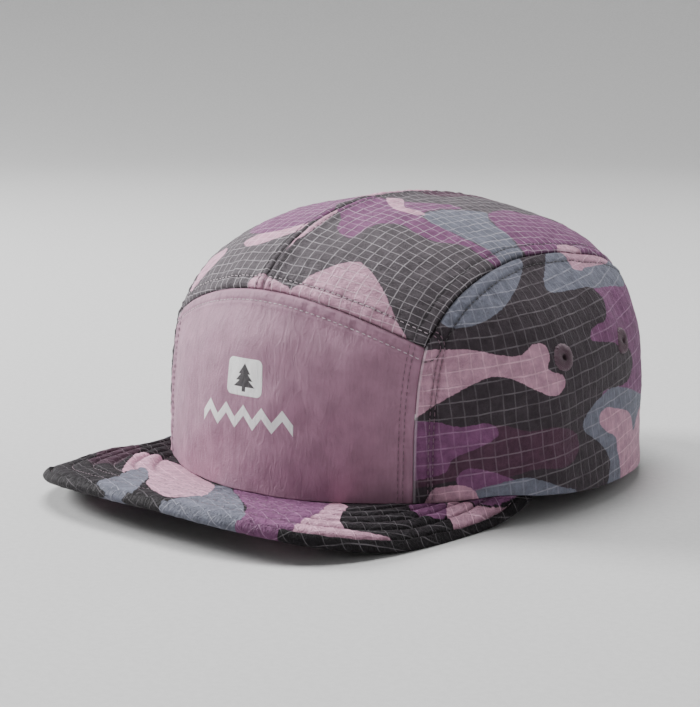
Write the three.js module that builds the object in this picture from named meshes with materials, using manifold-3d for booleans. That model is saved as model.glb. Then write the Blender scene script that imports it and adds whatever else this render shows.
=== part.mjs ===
// Five panel cap, in millimetres: +Z up, the brim towards -Y, the wearer's left side towards +X.
// The crown is a hollow shell of five cloth panels that meet at seams. It stands on its back hem and its brim.
import * as THREE from "three";
import { mergeVertices } from "three/addons/utils/BufferGeometryUtils.js";
import Module from "manifold-3d";

// Crown, measured on the outside of the cloth
const CROWN_HALF_WIDTH = 91;
const CROWN_FRONT_REACH = 75.8;
const CROWN_BACK_REACH = 111.6;
const CROWN_HEIGHT = 108.8;
const TOP_SET_BACK = 6.5;
const WALL = 1.5;

// Height of the hem above the surface that the cap stands on. The arch cuts the hem's lowest stretch away.
const HEM_LIFT = { front: 7.2, side: 8.2, back: -0.8 };

// Shape of the crown: the hem is a superellipse in plan, and each upright section is r^taper + z^fullness = 1
const PLAN_SQUARENESS = { front: 1.86, back: 2.1 };
const TAPER = { front: 1.94, side: 1.45, back: 1.8 };
const FULLNESS = { front: 4.9, side: 4.05, back: 5.25 };
const TOP_ROUNDING = 0.12;

// Seams: the space left between two neighbouring pieces, and where the seams run
const SEAM_GAP = 0.3;
const FRONT_PANEL_HALF_WIDTH = 62;
const BROW_HEIGHT = 79.8;
const CORNER_HEIGHT = 63.2;

// Opening at the back, and the strap across it
const ARCH_HALF_WIDTH = 36;
const ARCH_HEIGHT = 41;
const ARCH_SEAM_HEIGHT = 24;
const STRAP_HEIGHT = 20;
const STRAP_LIFT = 2.5;
const STRAP_THICKNESS = 1.6;
const STRAP_OVERLAP = 14;
const CLASP_WIDTH = 34;
const CLASP_HEIGHT = 24;
const CLASP_THICKNESS = 5;

// Brim. Its edge is highest at the front and falls to the sides, and the wearer's left side hangs lower by the twist.
const BRIM_HALF_WIDTH = 84.4;
const BRIM_REACH = 51.8;
const BRIM_SQUARENESS = 3.37;
const BRIM_CORNER_DEPTH = 86.2;
const BRIM_THICKNESS = 4;
const BRIM_END_ANGLE = 75;
const BRIM_END_THICKNESS = 2;
const BRIM_EDGE_TOP = { front: 14.2, side: 3.4, fall: 1.5 };
const BRIM_TWIST = 0.8;
const BRIM_EDGE_ROUND = 3;
const BRIM_CROWNING = 1.2;
const BRIM_ROW_CROWDING = 0.8;

// Eyelets
const EYELET_RADIUS = 5;
const EYELET_HOLE_RADIUS = 1.6;
const EYELET_SLEEVE = 1;
const EYELET_RISE = 1.2;
// Shares of the way across the rim and of its rise: its outer edge, its flat top and its mouth
const EYELET_RIM = { edgeRise: 0.6, topEnd: 0.75, topStart: 0.35, mouthRise: 0.5 };
const EYELET_HEIGHT = 57;
const EYELETS = [
  { place: "front", angle: 87.5 },
  { place: "back", angle: 111.5 },
];

// How far the seam between the side and top panels lies out from the middle of the crown, and how far back.
// Both are shares of the way from the top of the crown to its hem.
const RIDGE_SEAM = [
  { back: -0.3, out: 0.42 },
  { back: -0.17, out: 0.404 },
  { back: 0, out: 0.391 },
  { back: 0.18, out: 0.366 },
  { back: 0.34, out: 0.318 },
  { back: 0.5, out: 0.29 },
  { back: 0.66, out: 0.274 },
];

// Waves along the hem: where each is centred, how far it spreads, and its lift as a share of WAVE_LIFT
const WAVE_LIFT = 1.5;
const HEM_WAVES = [
  { angle: 18, spread: 14, lift: -0.25 },
  { angle: 66, spread: 9, lift: 1 },
  { angle: 101, spread: 15, lift: -0.75 },
  { angle: 135, spread: 12, lift: 0.3 },
];

// Soft dents and folds in the crown: where each is centred, its half sizes along and up the cloth as shares of
// FOLD_REACH, its lean in degrees, and how far it stands out as a share of FOLD_DEPTH
const FOLD_REACH = 20;
const FOLD_DEPTH = 1.6;
const FOLDS = [
  { name: "rear eyelet fold", angle: 107, rise: 0.62, along: 0.35, up: 1, lean: 6, out: 0.6 },
  { name: "rear eyelet hollow", angle: 116, rise: 0.6, along: 0.4, up: 1.1, lean: 6, out: -0.5 },
  { name: "side panel hollow", angle: 98, rise: 0.3, along: 1.2, up: 0.7, lean: -20, out: -0.6 },
  { name: "side panel swell", angle: 62, rise: 0.36, along: 0.7, up: 1, lean: 10, out: 0.45 },
  { name: "ridge hollow", angle: 84, rise: 0.78, along: 1.1, up: 0.4, lean: 0, out: -0.6 },
  { name: "brow hollow", angle: 22, rise: 0.62, along: 0.8, up: 0.35, lean: 12, out: -0.5 },
  { name: "front swell", angle: 30, rise: 0.36, along: 0.7, up: 1.1, lean: 0, out: 0.35 },
  { name: "back hollow", angle: 150, rise: 0.55, along: 1, up: 0.8, lean: 0, out: -0.5 },
];
const CENTRE_SEAM_RIDGE = { width: 6, height: 0.7 };

// How finely each piece is divided
const STEPS = {
  front: { columns: 22, rows: 11 },
  side: { columns: 28, rows: 11 },
  top: { columns: 24, rows: 10 },
  brim: { columns: 40, rows: 8 },
  strap: 8,
  ring: 14,
  outline: 96,
  brimEnd: 4,
  edge: 16,
};
const NORMAL_STEP = 0.004;
const WELD = 1e-3;
const LATHE_AXIS = new THREE.Vector3(0, 1, 0);

const CLOTH = {
  plain: { color: 0x8f7484, roughness: 0.8, metalness: 0 },
  printed: { color: 0x6c6070, roughness: 0.8, metalness: 0 },
  brim: { color: 0x77687a, roughness: 0.8, metalness: 0 },
  thread: { color: 0x5a4358, roughness: 0.7, metalness: 0 },
  webbing: { color: 0x3a363c, roughness: 0.75, metalness: 0 },
};

const radians = THREE.MathUtils.degToRad;
const lerp = THREE.MathUtils.lerp;
const signedPower = (value, power) => Math.sign(value) * Math.abs(value) ** power;
const bell = (offset) => Math.exp(-offset * offset);

// A value that has one size at the front, one at the sides and one at the back, at an angle round the crown
function around({ front, side, back }, angle) {
  const mean = (front + 2 * side + back) / 4;
  const frontToBack = (front - back) / 2;
  const endsToSides = (front + back - 2 * side) / 4;
  return mean + frontToBack * Math.cos(angle) + endsToSides * Math.cos(2 * angle);
}

// The hem's point in plan, before the crown narrows upwards
function hemPlan(angle) {
  const inFront = Math.cos(angle) > 0;
  const power = 2 / (inFront ? PLAN_SQUARENESS.front : PLAN_SQUARENESS.back);
  const reach = inFront ? CROWN_FRONT_REACH : CROWN_BACK_REACH;
  return {
    x: CROWN_HALF_WIDTH * signedPower(Math.sin(angle), power),
    y: -reach * signedPower(Math.cos(angle), power),
  };
}

function hemWave(angle) {
  const degrees = Math.abs(THREE.MathUtils.radToDeg(angle));
  const lifts = HEM_WAVES.map((wave) => wave.lift * bell((degrees - wave.angle) / wave.spread));
  return WAVE_LIFT * lifts.reduce((sum, lift) => sum + lift, 0);
}

const hemHeight = (angle) => around(HEM_LIFT, angle) + hemWave(angle);

// How far out the crown stands at a share of its height, with its top rounded off
function sectionReach(rise, angle) {
  const taper = around(TAPER, angle);
  const fullness = around(FULLNESS, angle);
  const left = 1 - Math.max(rise, 0) ** fullness;
  const blunt = TOP_ROUNDING ** taper;
  const whole = (1 + TOP_ROUNDING ** 2) ** (taper / 2) - blunt;
  return Math.sqrt(Math.max((left * whole + blunt) ** (2 / taper) - TOP_ROUNDING ** 2, 0));
}

// The smooth crown over a unit disc: (0, 0) is its top, the circle is its hem, and (0, -1) is the front
function smoothCrown(out, back) {
  const angle = Math.atan2(out, -back);
  const rise = Math.sin((Math.PI / 2) * (1 - Math.hypot(out, back)));
  const reach = sectionReach(rise, angle);
  const plan = hemPlan(angle);
  const low = around(HEM_LIFT, angle);
  const wave = hemWave(angle) * (1 - Math.max(rise, 0)) ** 2;
  return new THREE.Vector3(
    plan.x * reach,
    plan.y * reach + TOP_SET_BACK * Math.max(rise, 0) ** 2,
    lerp(low, CROWN_HEIGHT, rise) + wave,
  );
}

// The direction out of the cloth
function outward(out, back) {
  const step = NORMAL_STEP;
  const along = smoothCrown(out + step, back).sub(smoothCrown(out - step, back));
  const across = smoothCrown(out, back + step).sub(smoothCrown(out, back - step));
  return along.cross(across).normalize();
}

function foldOffset(out, back, point) {
  const degrees = Math.abs(THREE.MathUtils.radToDeg(Math.atan2(out, -back)));
  const rise = Math.sin((Math.PI / 2) * (1 - Math.hypot(out, back)));
  const reach = Math.hypot(point.x, point.y);
  let offset = 0;
  for (const fold of FOLDS) {
    const along = radians(degrees - fold.angle) * reach;
    const up = (rise - fold.rise) * CROWN_HEIGHT;
    const lean = radians(fold.lean);
    const across = along * Math.cos(lean) - up * Math.sin(lean);
    const length = along * Math.sin(lean) + up * Math.cos(lean);
    offset += fold.out * bell(across / (fold.along * FOLD_REACH)) * bell(length / (fold.up * FOLD_REACH));
  }
  return offset * FOLD_DEPTH;
}

// The outside of the cloth, with its folds, moved in by a depth
function crownPoint(out, back, depth = 0) {
  const point = smoothCrown(out, back);
  const ridge = CENTRE_SEAM_RIDGE.height * bell(point.x / CENTRE_SEAM_RIDGE.width);
  const overBrow = THREE.MathUtils.smoothstep(point.z, BROW_HEIGHT, BROW_HEIGHT + CENTRE_SEAM_RIDGE.width);
  const offset = foldOffset(out, back, point) + ridge * overBrow - depth;
  return point.addScaledVector(outward(out, back), offset);
}

// The place on the unit disc of a crown point given by its sideways distance and its height
function placeAt(x, z, inFront) {
  let angle = inFront ? 0 : Math.PI;
  let rise = 0;
  const power = (inFront ? PLAN_SQUARENESS.front : PLAN_SQUARENESS.back) / 2;
  for (let turn = 0; turn < STEPS.edge; turn += 1) {
    const low = around(HEM_LIFT, angle);
    rise = THREE.MathUtils.clamp((z - low) / (CROWN_HEIGHT - low), 0, 1);
    const share = Math.min(x / (CROWN_HALF_WIDTH * sectionReach(rise, angle)), 1);
    const fromMiddle = Math.asin(share ** power);
    angle = inFront ? fromMiddle : Math.PI - fromMiddle;
  }
  const radius = 1 - (2 / Math.PI) * Math.asin(rise);
  return new THREE.Vector2(radius * Math.sin(angle), -radius * Math.cos(angle));
}

const onHem = (angle) => new THREE.Vector2(Math.sin(angle), -Math.cos(angle));
const angleOf = (place) => Math.atan2(place.x, -place.y);

// Seams and edges on the unit disc, for the wearer's left half. Each runs as its share goes from 0 to 1.
const frontSeamFoot = angleOf(placeAt(FRONT_PANEL_HALF_WIDTH, HEM_LIFT.side, true));
const archFoot = angleOf(placeAt(ARCH_HALF_WIDTH, HEM_LIFT.back, false));

function frontSeam(share) {
  if (share === 0) return onHem(frontSeamFoot);
  const low = around(HEM_LIFT, frontSeamFoot);
  return placeAt(FRONT_PANEL_HALF_WIDTH, lerp(low, CORNER_HEIGHT, share), true);
}

function browSeam(share) {
  const height = BROW_HEIGHT - (BROW_HEIGHT - CORNER_HEIGHT) * share * share;
  return placeAt(FRONT_PANEL_HALF_WIDTH * share, height, true);
}

// The arch is half an ellipse. Its edge runs from the hem, past the seam between side and top, to the middle.
function archEdge(share) {
  if (share === 0) return onHem(archFoot);
  const turn = (Math.PI / 2) * (1 - share);
  return placeAt(ARCH_HALF_WIDTH * Math.sin(turn), ARCH_HEIGHT * Math.cos(turn), false);
}

const archJunction = (2 / Math.PI) * Math.asin(ARCH_SEAM_HEIGHT / ARCH_HEIGHT);
const archLower = (share) => archEdge(share * archJunction);
const archUpper = (share) => archEdge(lerp(archJunction, 1, share));

const ridgeCurve = new THREE.SplineCurve([
  frontSeam(1),
  ...RIDGE_SEAM.map((row) => new THREE.Vector2(row.out, row.back)),
  archLower(1),
]);
const ridgeSeam = (share) => ridgeCurve.getPointAt(share);
const hemBetween = (start, end) => (share) => onHem(lerp(start, end, share));
const centreSeam = (share) => new THREE.Vector2(0, lerp(browSeam(0).y, archUpper(1).y, share));
const mirrored = (curve) => (share) => {
  const place = curve(share);
  return new THREE.Vector2(-place.x, place.y);
};

// A patch between four edges: low and high run along it, start and end run up it
function patch({ low, high, start, end }) {
  return (along, up) => {
    const place = low(along).multiplyScalar(1 - up);
    place.addScaledVector(high(along), up);
    place.addScaledVector(start(up), 1 - along);
    place.addScaledVector(end(up), along);
    place.addScaledVector(low(0), -(1 - along) * (1 - up));
    place.addScaledVector(low(1), -along * (1 - up));
    place.addScaledVector(high(0), -(1 - along) * up);
    place.addScaledVector(high(1), -along * up);
    return place;
  };
}

// A closed solid from two matching grids of points, the outer one and the inner one
function shellBetween(rows, columns, outerPoint, innerPoint) {
  const positions = [];
  const triangles = [];
  const index = (layer, row, column) => (layer * (rows + 1) + row) * (columns + 1) + column;
  for (const pointAt of [outerPoint, innerPoint]) {
    for (let row = 0; row <= rows; row += 1) {
      for (let column = 0; column <= columns; column += 1) {
        positions.push(...pointAt(row, column).toArray());
      }
    }
  }
  const quad = (a, b, c, d) => triangles.push(a, b, c, a, c, d);
  for (let row = 0; row < rows; row += 1) {
    for (let column = 0; column < columns; column += 1) {
      quad(
        index(0, row, column),
        index(0, row, column + 1),
        index(0, row + 1, column + 1),
        index(0, row + 1, column),
      );
      quad(
        index(1, row, column),
        index(1, row + 1, column),
        index(1, row + 1, column + 1),
        index(1, row, column + 1),
      );
    }
  }
  for (let column = 0; column < columns; column += 1) {
    quad(index(0, 0, column), index(1, 0, column), index(1, 0, column + 1), index(0, 0, column + 1));
    quad(
      index(0, rows, column + 1),
      index(1, rows, column + 1),
      index(1, rows, column),
      index(0, rows, column),
    );
  }
  for (let row = 0; row < rows; row += 1) {
    quad(index(0, row + 1, 0), index(1, row + 1, 0), index(1, row, 0), index(0, row, 0));
    quad(
      index(0, row, columns),
      index(1, row, columns),
      index(1, row + 1, columns),
      index(0, row + 1, columns),
    );
  }
  const geometry = new THREE.BufferGeometry();
  geometry.setAttribute("position", new THREE.Float32BufferAttribute(positions, 3));
  geometry.setIndex(triangles);
  return geometry;
}

// The length of cloth along one line of a patch
function lineLength(pointAt) {
  let length = 0;
  for (let step = 0; step < STEPS.edge; step += 1) {
    length += pointAt(step / STEPS.edge).distanceTo(pointAt((step + 1) / STEPS.edge));
  }
  return length;
}

// One panel of cloth. Where an edge meets another panel it is drawn in by half of the seam gap.
function panelGeometry(edges, steps, seams) {
  const placeOn = patch(edges);
  const half = SEAM_GAP / 2;
  const on = (along, up) => {
    const place = placeOn(along, up);
    return smoothCrown(place.x, place.y);
  };
  const point = (row, column, depth) => {
    const alongShare = column / steps.columns;
    const upShare = row / steps.rows;
    const alongInset = half / lineLength((share) => on(share, upShare));
    const upInset = half / lineLength((share) => on(alongShare, share));
    const along = lerp(seams.start ? alongInset : 0, seams.end ? 1 - alongInset : 1, alongShare);
    const up = lerp(seams.low ? upInset : 0, seams.high ? 1 - upInset : 1, upShare);
    const place = placeOn(along, up);
    return crownPoint(place.x, place.y, depth);
  };
  return shellBetween(
    steps.rows,
    steps.columns,
    (row, column) => point(row, column, 0),
    (row, column) => point(row, column, WALL),
  );
}

// The same geometry on the other side of the cap
function mirror(geometry) {
  const other = geometry.clone().scale(-1, 1, 1);
  const order = Array.from(other.index.array);
  for (let corner = 0; corner < order.length; corner += 3) {
    [order[corner + 1], order[corner + 2]] = [order[corner + 2], order[corner + 1]];
  }
  return other.setIndex(order);
}

const frontPanel = () =>
  panelGeometry(
    {
      low: hemBetween(-frontSeamFoot, frontSeamFoot),
      high: (share) => (share < 0.5 ? mirrored(browSeam)(1 - 2 * share) : browSeam(2 * share - 1)),
      start: mirrored(frontSeam),
      end: frontSeam,
    },
    STEPS.front,
    { start: true, end: true, high: true },
  );

const sidePanel = () =>
  panelGeometry(
    { low: hemBetween(frontSeamFoot, archFoot), high: ridgeSeam, start: frontSeam, end: archLower },
    STEPS.side,
    { start: true, high: true },
  );

const topPanel = () =>
  panelGeometry(
    { low: ridgeSeam, high: centreSeam, start: (share) => browSeam(1 - share), end: archUpper },
    STEPS.top,
    { low: true, high: true, start: true },
  );

// Brim. In plan it runs from the inside of the front hem out to its edge, which ends under the side hems.
const brimEnd = radians(BRIM_END_ANGLE);
const brimMiddle = BRIM_CORNER_DEPTH - CROWN_FRONT_REACH - BRIM_REACH;

function brimEdge() {
  const power = 2 / BRIM_SQUARENESS;
  const end = hemPlan(brimEnd);
  const top = BRIM_EDGE_TOP;
  const points = [];
  for (let step = 0; step <= STEPS.outline; step += 1) {
    const turn = Math.PI * (step / STEPS.outline - 0.5);
    const x = BRIM_HALF_WIDTH * signedPower(Math.sin(turn), power);
    const y = brimMiddle - BRIM_CORNER_DEPTH * signedPower(Math.cos(turn), power);
    const height = lerp(top.side, top.front, Math.max(Math.cos(turn), 0) ** top.fall);
    points.push(new THREE.Vector3(x, y, height - BRIM_TWIST * Math.sin(turn)));
  }
  for (const side of [-1, 1]) {
    const corner = side < 0 ? points[0] : points[points.length - 1];
    const tip = new THREE.Vector3(side * end.x, end.y, hemHeight(brimEnd) - SEAM_GAP);
    for (let step = 1; step <= STEPS.brimEnd; step += 1) {
      const share = step / STEPS.brimEnd;
      const point = corner.clone().lerp(tip, share).setZ(lerp(corner.z, tip.z, share ** 2));
      if (side < 0) points.unshift(point);
      else points.push(point);
    }
  }
  const curve = new THREE.CurvePath();
  points.slice(1).forEach((point, step) => curve.add(new THREE.LineCurve3(points[step], point)));
  return curve;
}

const brimEdgeCurve = brimEdge();

function brimPoint(row, column, upper) {
  const along = column / STEPS.brim.columns;
  const angle = lerp(-brimEnd, brimEnd, along);
  const hem = crownPoint(...onHem(angle).toArray(), WALL);
  const edge = brimEdgeCurve.getPointAt(along);
  const width = Math.hypot(edge.x - hem.x, edge.y - hem.y);
  const across = Math.sin(((Math.PI / 2) * row) / STEPS.brim.rows) ** BRIM_ROW_CROWDING;
  const hemTop = hemHeight(angle) - SEAM_GAP;
  const crowning = BRIM_CROWNING * Math.sin(Math.PI * across) * Math.min(width / BRIM_REACH, 1);
  const top = lerp(hemTop, edge.z, THREE.MathUtils.smoothstep(across, 0, 1)) + crowning;
  const fromEdge = Math.min((width * (1 - across)) / BRIM_EDGE_ROUND, 1);
  const ending = THREE.MathUtils.smoothstep(width, 0, BRIM_REACH / 2);
  const thickness = lerp(BRIM_END_THICKNESS, BRIM_THICKNESS, ending);
  const half = (thickness / 2) * Math.sqrt(1 - (1 - fromEdge) ** 2);
  const height = top - thickness / 2 + (upper ? half : -half);
  return new THREE.Vector3(lerp(hem.x, edge.x, across), lerp(hem.y, edge.y, across), Math.max(height, 0));
}

function brim() {
  const { columns, rows } = STEPS.brim;
  return shellBetween(
    rows,
    columns,
    (row, column) => brimPoint(rows - row, column, true),
    (row, column) => brimPoint(rows - row, column, false),
  );
}

// Strap: it follows the inside of the hem across the arch. The clasp is its thicker and taller middle.
function backStrap() {
  const inside = WALL + SEAM_GAP;
  const middle = inside + STRAP_THICKNESS / 2;
  const backRadius = hemPlan(archFoot).x / Math.sin(Math.PI - archFoot);
  const clasp = CLASP_WIDTH / 2 / backRadius;
  const end = Math.PI - archFoot + STRAP_OVERLAP / backRadius;
  const stations = [];
  const addStations = (from, to, count, isClasp) => {
    for (let step = 0; step <= count; step += 1) {
      stations.push({ turn: lerp(from, to, step / count), isClasp });
    }
  };
  addStations(-end, -clasp, STEPS.strap, false);
  addStations(-clasp, clasp, STEPS.strap / 2, true);
  addStations(clasp, end, STEPS.strap, false);
  const corner = ({ turn, isClasp }, top, outer) => {
    const thickness = isClasp ? CLASP_THICKNESS : STRAP_THICKNESS;
    const grow = isClasp ? (CLASP_HEIGHT - STRAP_HEIGHT) / 2 : 0;
    const height = STRAP_LIFT + (top ? STRAP_HEIGHT + grow : -grow);
    const rise = (height - HEM_LIFT.back) / (CROWN_HEIGHT - HEM_LIFT.back);
    const radius = 1 - (2 / Math.PI) * Math.asin(rise);
    const place = onHem(Math.PI + turn).multiplyScalar(radius);
    const point = crownPoint(place.x, place.y, middle + (outer ? -thickness / 2 : thickness / 2));
    return point.setZ(height);
  };
  return shellBetween(
    1,
    stations.length - 1,
    (row, column) => corner(stations[column], row === 1, true),
    (row, column) => corner(stations[column], row === 1, false),
  );
}

// An eyelet's sewn ring: a rim that stands on the cloth, and a sleeve through the hole in it
function eyeletRing() {
  const bore = EYELET_HOLE_RADIUS;
  const sleeve = bore + EYELET_SLEEVE;
  const profile = [
    [bore, -WALL],
    [sleeve, -WALL],
    [sleeve, SEAM_GAP],
    [EYELET_RADIUS, SEAM_GAP],
    [EYELET_RADIUS, EYELET_RISE * EYELET_RIM.edgeRise],
    [lerp(bore, EYELET_RADIUS, EYELET_RIM.topEnd), EYELET_RISE],
    [lerp(bore, EYELET_RADIUS, EYELET_RIM.topStart), EYELET_RISE],
    [bore, EYELET_RISE * EYELET_RIM.mouthRise],
    [bore, -WALL],
  ];
  return new THREE.LatheGeometry(
    profile.map(([radius, height]) => new THREE.Vector2(radius, height)),
    STEPS.ring,
  );
}

function eyeletPlace(angle) {
  const low = around(HEM_LIFT, angle);
  const rise = (EYELET_HEIGHT - low) / (CROWN_HEIGHT - low);
  const place = onHem(angle).multiplyScalar(1 - (2 / Math.PI) * Math.asin(rise));
  const turn = new THREE.Quaternion().setFromUnitVectors(LATHE_AXIS, outward(place.x, place.y));
  return new THREE.Matrix4().compose(crownPoint(place.x, place.y), turn, new THREE.Vector3(1, 1, 1));
}

// Holes through the side panel, one for each eyelet
const wasm = await Module();
wasm.setup();

function solidOf(geometry) {
  const bare = new THREE.BufferGeometry();
  bare.setAttribute("position", geometry.getAttribute("position").clone());
  bare.setIndex(geometry.index.clone());
  const merged = mergeVertices(bare, WELD);
  const triVerts = new Uint32Array(merged.index.array);
  const vertProperties = merged.getAttribute("position").array;
  return new wasm.Manifold(new wasm.Mesh({ numProp: 3, vertProperties, triVerts }));
}

function geometryOf(solid) {
  const mesh = solid.getMesh();
  const geometry = new THREE.BufferGeometry();
  geometry.setAttribute("position", new THREE.BufferAttribute(mesh.vertProperties, 3));
  return geometry.setIndex(new THREE.BufferAttribute(mesh.triVerts, 1));
}

function sidePanelWithHoles() {
  const radius = EYELET_HOLE_RADIUS + EYELET_SLEEVE + SEAM_GAP;
  let panel = solidOf(sidePanel());
  for (const { angle } of EYELETS) {
    const drill = new THREE.CylinderGeometry(radius, radius, WALL * 4, STEPS.ring);
    panel = panel.subtract(solidOf(drill.applyMatrix4(eyeletPlace(radians(angle)))));
  }
  return geometryOf(panel);
}

const cap = new THREE.Group();

function addPiece(name, geometry, finish) {
  const material = new THREE.MeshStandardMaterial(finish);
  const mesh = new THREE.Mesh(geometry, material);
  mesh.name = name;
  cap.add(mesh);
  return mesh;
}

addPiece("front_panel", frontPanel(), CLOTH.plain);
const leftSide = sidePanelWithHoles();
const leftTop = topPanel();
addPiece("side_panel_left", leftSide, CLOTH.printed);
addPiece("side_panel_right", mirror(leftSide), CLOTH.printed);
addPiece("top_panel_left", leftTop, CLOTH.printed);
addPiece("top_panel_right", mirror(leftTop), CLOTH.printed);
addPiece("brim", brim(), CLOTH.brim);
addPiece("back_strap", backStrap(), CLOTH.webbing);
for (const { place, angle } of EYELETS) {
  const left = eyeletRing().applyMatrix4(eyeletPlace(radians(angle)));
  addPiece(`eyelet_left_${place}`, left, CLOTH.thread);
  addPiece(`eyelet_right_${place}`, mirror(left), CLOTH.thread);
}

// The origin is on the surface that the cap stands on, under the middle of its footprint
const extent = new THREE.Box3().setFromObject(cap);
cap.position.set(0, -(extent.min.y + extent.max.y) / 2, -extent.min.z);

export default cap;
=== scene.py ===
"""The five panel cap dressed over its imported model: camouflage ripstop, plain nylon and a stitched brim.

Forms are worked out in millimetres, in the part's own formulas, and put into Blender in metres.
"""

import logging
import math
from collections.abc import Callable, Iterable
from dataclasses import dataclass, field
from enum import Enum
from typing import ClassVar

import bpy
import numpy as np
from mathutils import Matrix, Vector


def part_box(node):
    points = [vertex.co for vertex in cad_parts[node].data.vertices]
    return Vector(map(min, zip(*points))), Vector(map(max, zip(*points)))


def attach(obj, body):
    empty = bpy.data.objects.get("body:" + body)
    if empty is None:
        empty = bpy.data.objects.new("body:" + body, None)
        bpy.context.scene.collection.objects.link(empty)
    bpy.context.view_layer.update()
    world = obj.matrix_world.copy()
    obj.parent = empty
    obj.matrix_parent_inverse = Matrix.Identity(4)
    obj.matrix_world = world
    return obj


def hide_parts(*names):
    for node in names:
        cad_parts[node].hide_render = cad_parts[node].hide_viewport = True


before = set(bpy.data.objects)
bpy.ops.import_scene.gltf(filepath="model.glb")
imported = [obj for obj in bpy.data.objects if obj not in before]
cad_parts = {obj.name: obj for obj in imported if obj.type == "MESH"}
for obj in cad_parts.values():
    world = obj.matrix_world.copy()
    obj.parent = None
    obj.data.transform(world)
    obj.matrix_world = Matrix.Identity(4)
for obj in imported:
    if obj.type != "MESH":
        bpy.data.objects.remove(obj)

LOG = logging.getLogger("cap")
MM = 0.001
BODY = "root"
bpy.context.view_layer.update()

Curve = Callable[[np.ndarray], np.ndarray]
Place = Callable[[np.ndarray, np.ndarray], np.ndarray]
Outline = tuple[tuple[float, float], ...]
Colour = tuple[float, float, float, float]

# The depth of a point that lies in no patch of a colour, in millimetres.
OUTSIDE = -50.0


class Side(Enum):
    """The wearer's side that a piece belongs to."""

    LEFT = 1
    RIGHT = -1


class Shade(Enum):
    """The printed colours of the camouflage, in the order in which they are laid over its charcoal ground."""

    PLUM = "camo_plum"
    PURPLE = "camo_purple"
    GREY = "camo_grey"
    PINK = "camo_pink"

    @property
    def label(self) -> str:
        """The colour's name on a node's socket."""
        return self.name.title()


class Edge(Enum):
    """The four edges of a panel's patch."""

    LOW = "low"
    HIGH = "high"
    START = "start"
    END = "end"


def bell(offset: np.ndarray) -> np.ndarray:
    """A smooth bump of height one around zero."""
    return np.exp(-offset * offset)


def lerp(start: np.ndarray, end: np.ndarray, share: np.ndarray) -> np.ndarray:
    """The value at a share of the way from start to end."""
    return start + (end - start) * share


def smoothstep(value: np.ndarray, low: float, high: float) -> np.ndarray:
    """A smooth rise from 0 at low to 1 at high."""
    share = np.clip((value - low) / (high - low), 0, 1)
    return share * share * (3 - 2 * share)


def signed_power(value: np.ndarray, power: np.ndarray) -> np.ndarray:
    """The power of a value's size, with the value's sign."""
    return np.sign(value) * np.abs(value) ** power


def unit(vectors: np.ndarray) -> np.ndarray:
    """The same directions with a length of one."""
    return vectors / np.linalg.norm(vectors, axis=-1, keepdims=True)


def run_length(route: np.ndarray) -> np.ndarray:
    """The length along a route up to each of its points."""
    return np.concatenate([[0], np.cumsum(np.linalg.norm(np.diff(route, axis=0), axis=1))])


def grid_normals(grid: np.ndarray) -> np.ndarray:
    """The direction out of a grid of points."""
    return unit(np.cross(np.gradient(grid, axis=1), np.gradient(grid, axis=0)))


def spline(before: np.ndarray, start: np.ndarray, end: np.ndarray, after: np.ndarray,
           weight: np.ndarray) -> np.ndarray:
    """A smooth curve through four points, between the two in the middle.

    Args:
        before: The first point.
        start: The second.
        end: The third.
        after: The fourth.
        weight: The share of the way from start to end.

    Returns:
        The curve's point.
    """
    leave = (end - before) / 2
    arrive = (after - start) / 2
    cubic = 2 * start - 2 * end + leave + arrive
    square = 3 * (end - start) - 2 * leave - arrive
    return cubic * weight**3 + square * weight**2 + leave * weight + start


def lattice(x: np.ndarray, y: np.ndarray, seed: int) -> np.ndarray:
    """A fixed value from -1 to 1 for each whole number pair.

    Args:
        x: Whole numbers along the first axis.
        y: Whole numbers along the second axis.
        seed: Picks one of many such fields.

    Returns:
        The value of each pair.
    """
    mixed = (x * 374761393 + y * 668265263 + seed * 982451653) & 0xFFFFFFFF
    mixed = ((mixed ^ (mixed >> 13)) * 1274126177) & 0xFFFFFFFF
    mixed = mixed ^ (mixed >> 16)
    return (mixed & 0xFFFF) / 32767.5 - 1


def noise(x: np.ndarray, y: np.ndarray, seed: int) -> np.ndarray:
    """Smooth noise over a plane, with features about one unit wide.

    Args:
        x: First coordinate.
        y: Second coordinate.
        seed: Picks one of many such fields.

    Returns:
        Values from about -1 to 1.
    """
    whole_x = np.floor(x).astype(np.int64)
    whole_y = np.floor(y).astype(np.int64)
    part_x = x - whole_x
    part_y = y - whole_y
    ease_x = part_x * part_x * (3 - 2 * part_x)
    ease_y = part_y * part_y * (3 - 2 * part_y)
    near = lerp(lattice(whole_x, whole_y, seed), lattice(whole_x + 1, whole_y, seed), ease_x)
    far = lerp(lattice(whole_x, whole_y + 1, seed), lattice(whole_x + 1, whole_y + 1, seed), ease_x)
    return lerp(near, far, ease_y)


@dataclass(frozen=True)
class Ripple:
    """A layer of small waves in cloth: its share, its lengths across and up, its shear and its own field."""

    share: float
    across: float
    up: float
    shear: float = 0
    layer: int = 0

    def at(self, u: np.ndarray, v: np.ndarray, seed: int) -> np.ndarray:
        """The waves' height at a place on the cloth."""
        turned_up = (v - self.shear * u) / self.up
        return self.share * noise((u + self.shear * v) / self.across, turned_up, seed + self.layer)


def ripples(layers: tuple[Ripple, ...], u: np.ndarray, v: np.ndarray, seed: int) -> np.ndarray:
    """The height of several layers of waves at a place on the cloth."""
    return sum(layer.at(u, v, seed) for layer in layers)


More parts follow.
